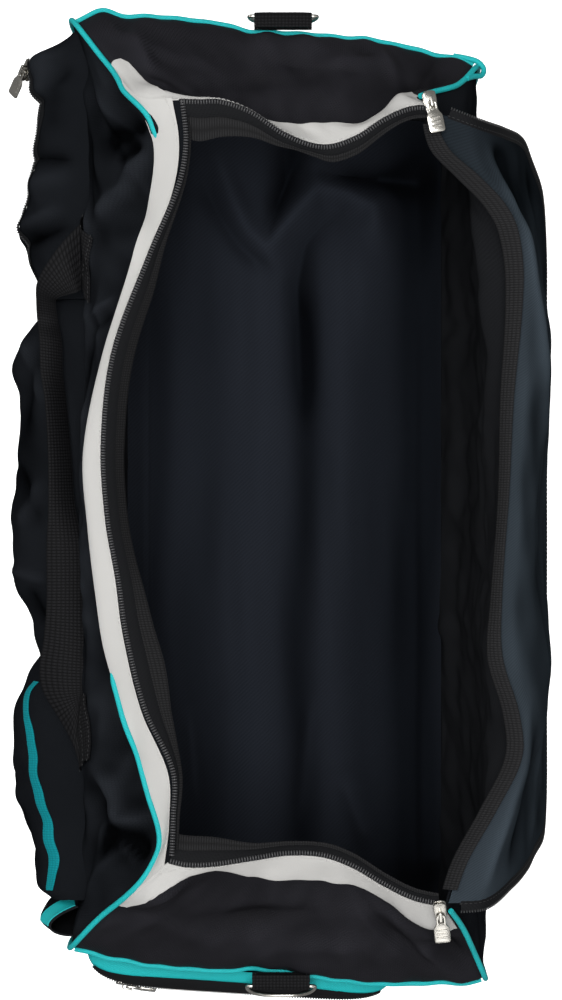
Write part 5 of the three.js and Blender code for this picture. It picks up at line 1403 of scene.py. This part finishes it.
class ROLLINGBAG_OT_zip_ends(bpy.types.Operator):
    """Set the zip sliders and their pulls"""

    bl_idname = "rolling_bag.zip_ends"
    bl_label = "Sliders and pulls"

    def execute(self, context):
        for name, (way, up) in ZIP_ENDS.items():
            hinge = np.array(HINGES[f"{name}_zip_pull"]["pos_m"], float)
            z = unit(np.array(up, float))
            y = -np.array(way, float)
            y = unit(y - z * y.dot(z))
            x = np.cross(y, z)
            place = Matrix.Identity(4)
            for k, axis in enumerate((x, y, z)):
                for row in range(3):
                    place[row][k] = axis[row]
            at = Matrix.Translation(Vector(hinge)) @ place @ Matrix.Scale(MM, 4)
            foot = at @ Matrix.Translation((0, 0, -SLIDER["tunnel"]))
            piece(f"{name}_zip_slider", join_meshes(f"{name}_zip_slider", self.slider(), foot), "bag", "nickel",
                  f"{name}_slider")
            piece(f"{name}_zip_tab", join_meshes(f"{name}_zip_tab", self.pull(), at), f"{name}_zip_pull", "nickel",
                  f"{name}_pull")
        return {"FINISHED"}

    def slider(self):
        half, wide, high = SLIDER["length"] / 2, SLIDER["width"] / 2, SLIDER["height"]
        outline = rounded([(-wide, half), (-wide, half * .2), (-wide * .62, -half), (wide * .62, -half),
                           (wide, half * .2), (wide, half), (wide * .4, half * 1.12), (-wide * .4, half * 1.12)], 2.2)
        parts = [plate_mesh("plate", outline, [], low, low + 2, .7, ("nickel plate",)) for low in (0, high - 2)]
        post = rounded([(-2, half), (-2, 0), (2, 0), (2, half)], 1)
        parts.append(plate_mesh("post", post, [], 1, high - 1, 0, ("nickel plate",)))
        reach, post, tall = 5.2, 1.7, 6.2
        arch = rounded([(-reach, -1), (-reach, tall), (reach, tall), (reach, -1), (reach - post, -1),
                        (reach - post, tall - post), (-reach + post, tall - post), (-reach + post, -1)], 1.3)
        loop = plate_mesh("arch", arch, [], -1.5, 1.5, .5, ("nickel plate",))
        loop.transform(Matrix(((0, 0, 1, 0), (1, 0, 0, 0), (0, 1, 0, high), (0, 0, 0, 1))))
        return parts + [loop]

    def pull(self):
        half, neck, long, thick = PULL["width"] / 2, PULL["neck"] / 2, PULL["length"], PULL["thickness"]
        outline = rounded([(-neck, 1.1), (-neck, -9), (-half, -13), (-half, -long), (half, -long), (half, -13),
                           (neck, -9), (neck, 1.1)], 3.2, 5)
        eye = rounded([(-2.5, -1.1), (2.5, -1.1), (2.5, -7.8), (-2.5, -7.8)], 1.4)
        parts = [plate_mesh("pull", outline, [eye], -thick / 2, thick / 2, .45, ("nickel plate",))]
        for y in (-15, -19, -23):
            bar = rounded([(-half + 2.4, y - 1), (half - 2.4, y - 1), (half - 2.4, y + 1), (-half + 2.4, y + 1)], .9)
            parts.append(plate_mesh("bar", bar, [], thick / 2 - .2, thick / 2 + .45, .25, ("nickel plate",)))
        return parts


class ROLLINGBAG_OT_rolling_gear(bpy.types.Operator):
    """Fit the wheels, their housings and the feet"""

    bl_idname = "rolling_bag.rolling_gear"
    bl_label = "Wheels and feet"

    def execute(self, context):
        for name, x in (("left", -WHEEL["x"]), ("right", WHEEL["x"])):
            centre = (x, WHEEL["y"], WHEEL["radius"])
            piece(f"tyre_{name}", turned_mesh(f"tyre_{name}", TREAD, centre, 96, ("black rubber",)), f"{name}_wheel",
                  "black_rubber", f"wheel_tyre_{name}")
            piece(f"hub_{name}", turned_mesh(f"hub_{name}", HUB, centre, 64, ("black plastic",)), f"{name}_wheel",
                  "black_plastic", f"wheel_hub_{name}")
            self.soften(f"wheel_housing_{name}", f"housing_{name}", 1.6)
            self.soften(f"foot_{name}", f"runner_{name}", 3.0)
        return {"FINISHED"}

    def soften(self, node, name, bevel):
        """A copy of a moulded solid with rounded edges."""
        bm = bmesh.new()
        bm.from_mesh(frame["nodes"][node].data)
        bmesh.ops.remove_doubles(bm, verts=bm.verts, dist=1e-5)
        bmesh.ops.dissolve_limit(bm, angle_limit=.02, verts=bm.verts, edges=bm.edges)
        rims = [e for e in bm.edges if len(e.link_faces) == 2 and e.calc_face_angle(0) > .5]
        bmesh.ops.bevel(bm, geom=rims, offset=bevel * MM, segments=3, affect="EDGES", profile=.5, clamp_overlap=True)
        bmesh.ops.recalc_face_normals(bm, faces=bm.faces)
        piece(name, from_bmesh(name, bm, [finish_of("black plastic")]), "bag", "black_plastic", node)


class ROLLINGBAG_OT_stage(bpy.types.Operator):
    """Set the pale floor, the soft lights and the camera"""

    bl_idname = "rolling_bag.stage"
    bl_label = "Stage"

    # name, place, size across and along, watts
    LIGHTS = (
        ("overhead_key", (-.2, .2, 3.1), 1.1, 2.2, 84),
        ("overhead_fill", (0, 0, 3.6), 4.0, 4.0, 30),
        ("left_window", (-2.6, 1.4, 2.2), 1.4, 1.4, 30),
        ("right_window", (2.8, -.4, 2.0), 1.8, 1.8, 12),
        ("near_window", (.3, -3.0, 2.2), 1.8, 1.8, 26),
    )

    def execute(self, context):
        scene = context.scene
        mesh = bpy.data.meshes.new("pale_floor")
        mesh.from_pydata([(-4, -4, 0), (4, -4, 0), (4, 4, 0), (-4, 4, 0)], [], [(0, 1, 2, 3)])
        mesh.materials.append(hard_finish("pale floor", (.93, .93, .925), .85, 60, .02, .02, specular=.1, size=2.0,
                                          Emission_Strength=.65, Emission_Color=(1, 1, 1, 1)))
        floor = bpy.data.objects.new("pale_floor", mesh)
        scene.collection.objects.link(floor)
        floor.visible_diffuse, floor.visible_glossy = False, False
        world = bpy.data.worlds.new("soft daylight")
        world.use_nodes = True
        world.node_tree.nodes["Background"].inputs["Color"].default_value = (1, 1, 1, 1)
        world.node_tree.nodes["Background"].inputs["Strength"].default_value = .26
        scene.world = world
        for name, place, across, along, watts in self.LIGHTS:
            light = bpy.data.lights.new(name, "AREA")
            light.shape, light.size, light.size_y, light.energy = "RECTANGLE", across, along, watts
            lamp = bpy.data.objects.new(name, light)
            lamp.location = place
            if math.hypot(place[0], place[1]) > 1:
                lamp.rotation_euler = (-Vector(place) + Vector((0, 0, .2))).to_track_quat("-Z", "Y").to_euler()
            scene.collection.objects.link(lamp)
        lens = bpy.data.cameras.new("camera")
        lens.lens, lens.sensor_width, lens.clip_end = CAMERA["lens"], 36, 50
        camera = bpy.data.objects.new("camera", lens)
        camera.location = (SHIFT[0] * MM, SHIFT[1] * MM, CAMERA["height"])
        scene.collection.objects.link(camera)
        scene.camera = camera
        scene.view_settings.view_transform = "Standard"
        return {"FINISHED"}


class ROLLINGBAG_PT_build(bpy.types.Panel):
    """Sizes, colours and building steps of the bag"""

    bl_label = "Rolling Bag"
    bl_idname = "ROLLINGBAG_PT_build"
    bl_space_type = "VIEW_3D"
    bl_region_type = "UI"
    bl_category = "Rolling Bag"

    def draw(self, context):
        for group in (context.scene.rolling_bag_sizes, context.scene.rolling_bag_colours):
            box = self.layout.box()
            for name in group.__annotations__:
                box.prop(group, name)
        for step in STEPS:
            self.layout.operator(step.bl_idname)


STEPS = (ROLLINGBAG_OT_stage, ROLLINGBAG_OT_walls, ROLLINGBAG_OT_mouth, ROLLINGBAG_OT_lid, ROLLINGBAG_OT_piping,
         ROLLINGBAG_OT_pockets, ROLLINGBAG_OT_straps, ROLLINGBAG_OT_dees, ROLLINGBAG_OT_zip_ends,
         ROLLINGBAG_OT_rolling_gear)
CLASSES = (RollingBagSizes, RollingBagColours, *STEPS, ROLLINGBAG_PT_build)


def register():
    for cls in CLASSES:
        bpy.utils.register_class(cls)
    bpy.types.Scene.rolling_bag_sizes = PointerProperty(type=RollingBagSizes)
    bpy.types.Scene.rolling_bag_colours = PointerProperty(type=RollingBagColours)


def unregister():
    del bpy.types.Scene.rolling_bag_colours
    del bpy.types.Scene.rolling_bag_sizes
    for cls in reversed(CLASSES):
        bpy.utils.unregister_class(cls)


def main():
    register()
    bpy.ops.rolling_bag.stage()
    bpy.ops.rolling_bag.walls()
    bpy.ops.rolling_bag.mouth()
    bpy.ops.rolling_bag.lid()
    bpy.ops.rolling_bag.piping()
    bpy.ops.rolling_bag.pockets()
    bpy.ops.rolling_bag.straps()
    bpy.ops.rolling_bag.dees()
    bpy.ops.rolling_bag.zip_ends()
    bpy.ops.rolling_bag.rolling_gear()


if __name__ == "__main__":
    main()
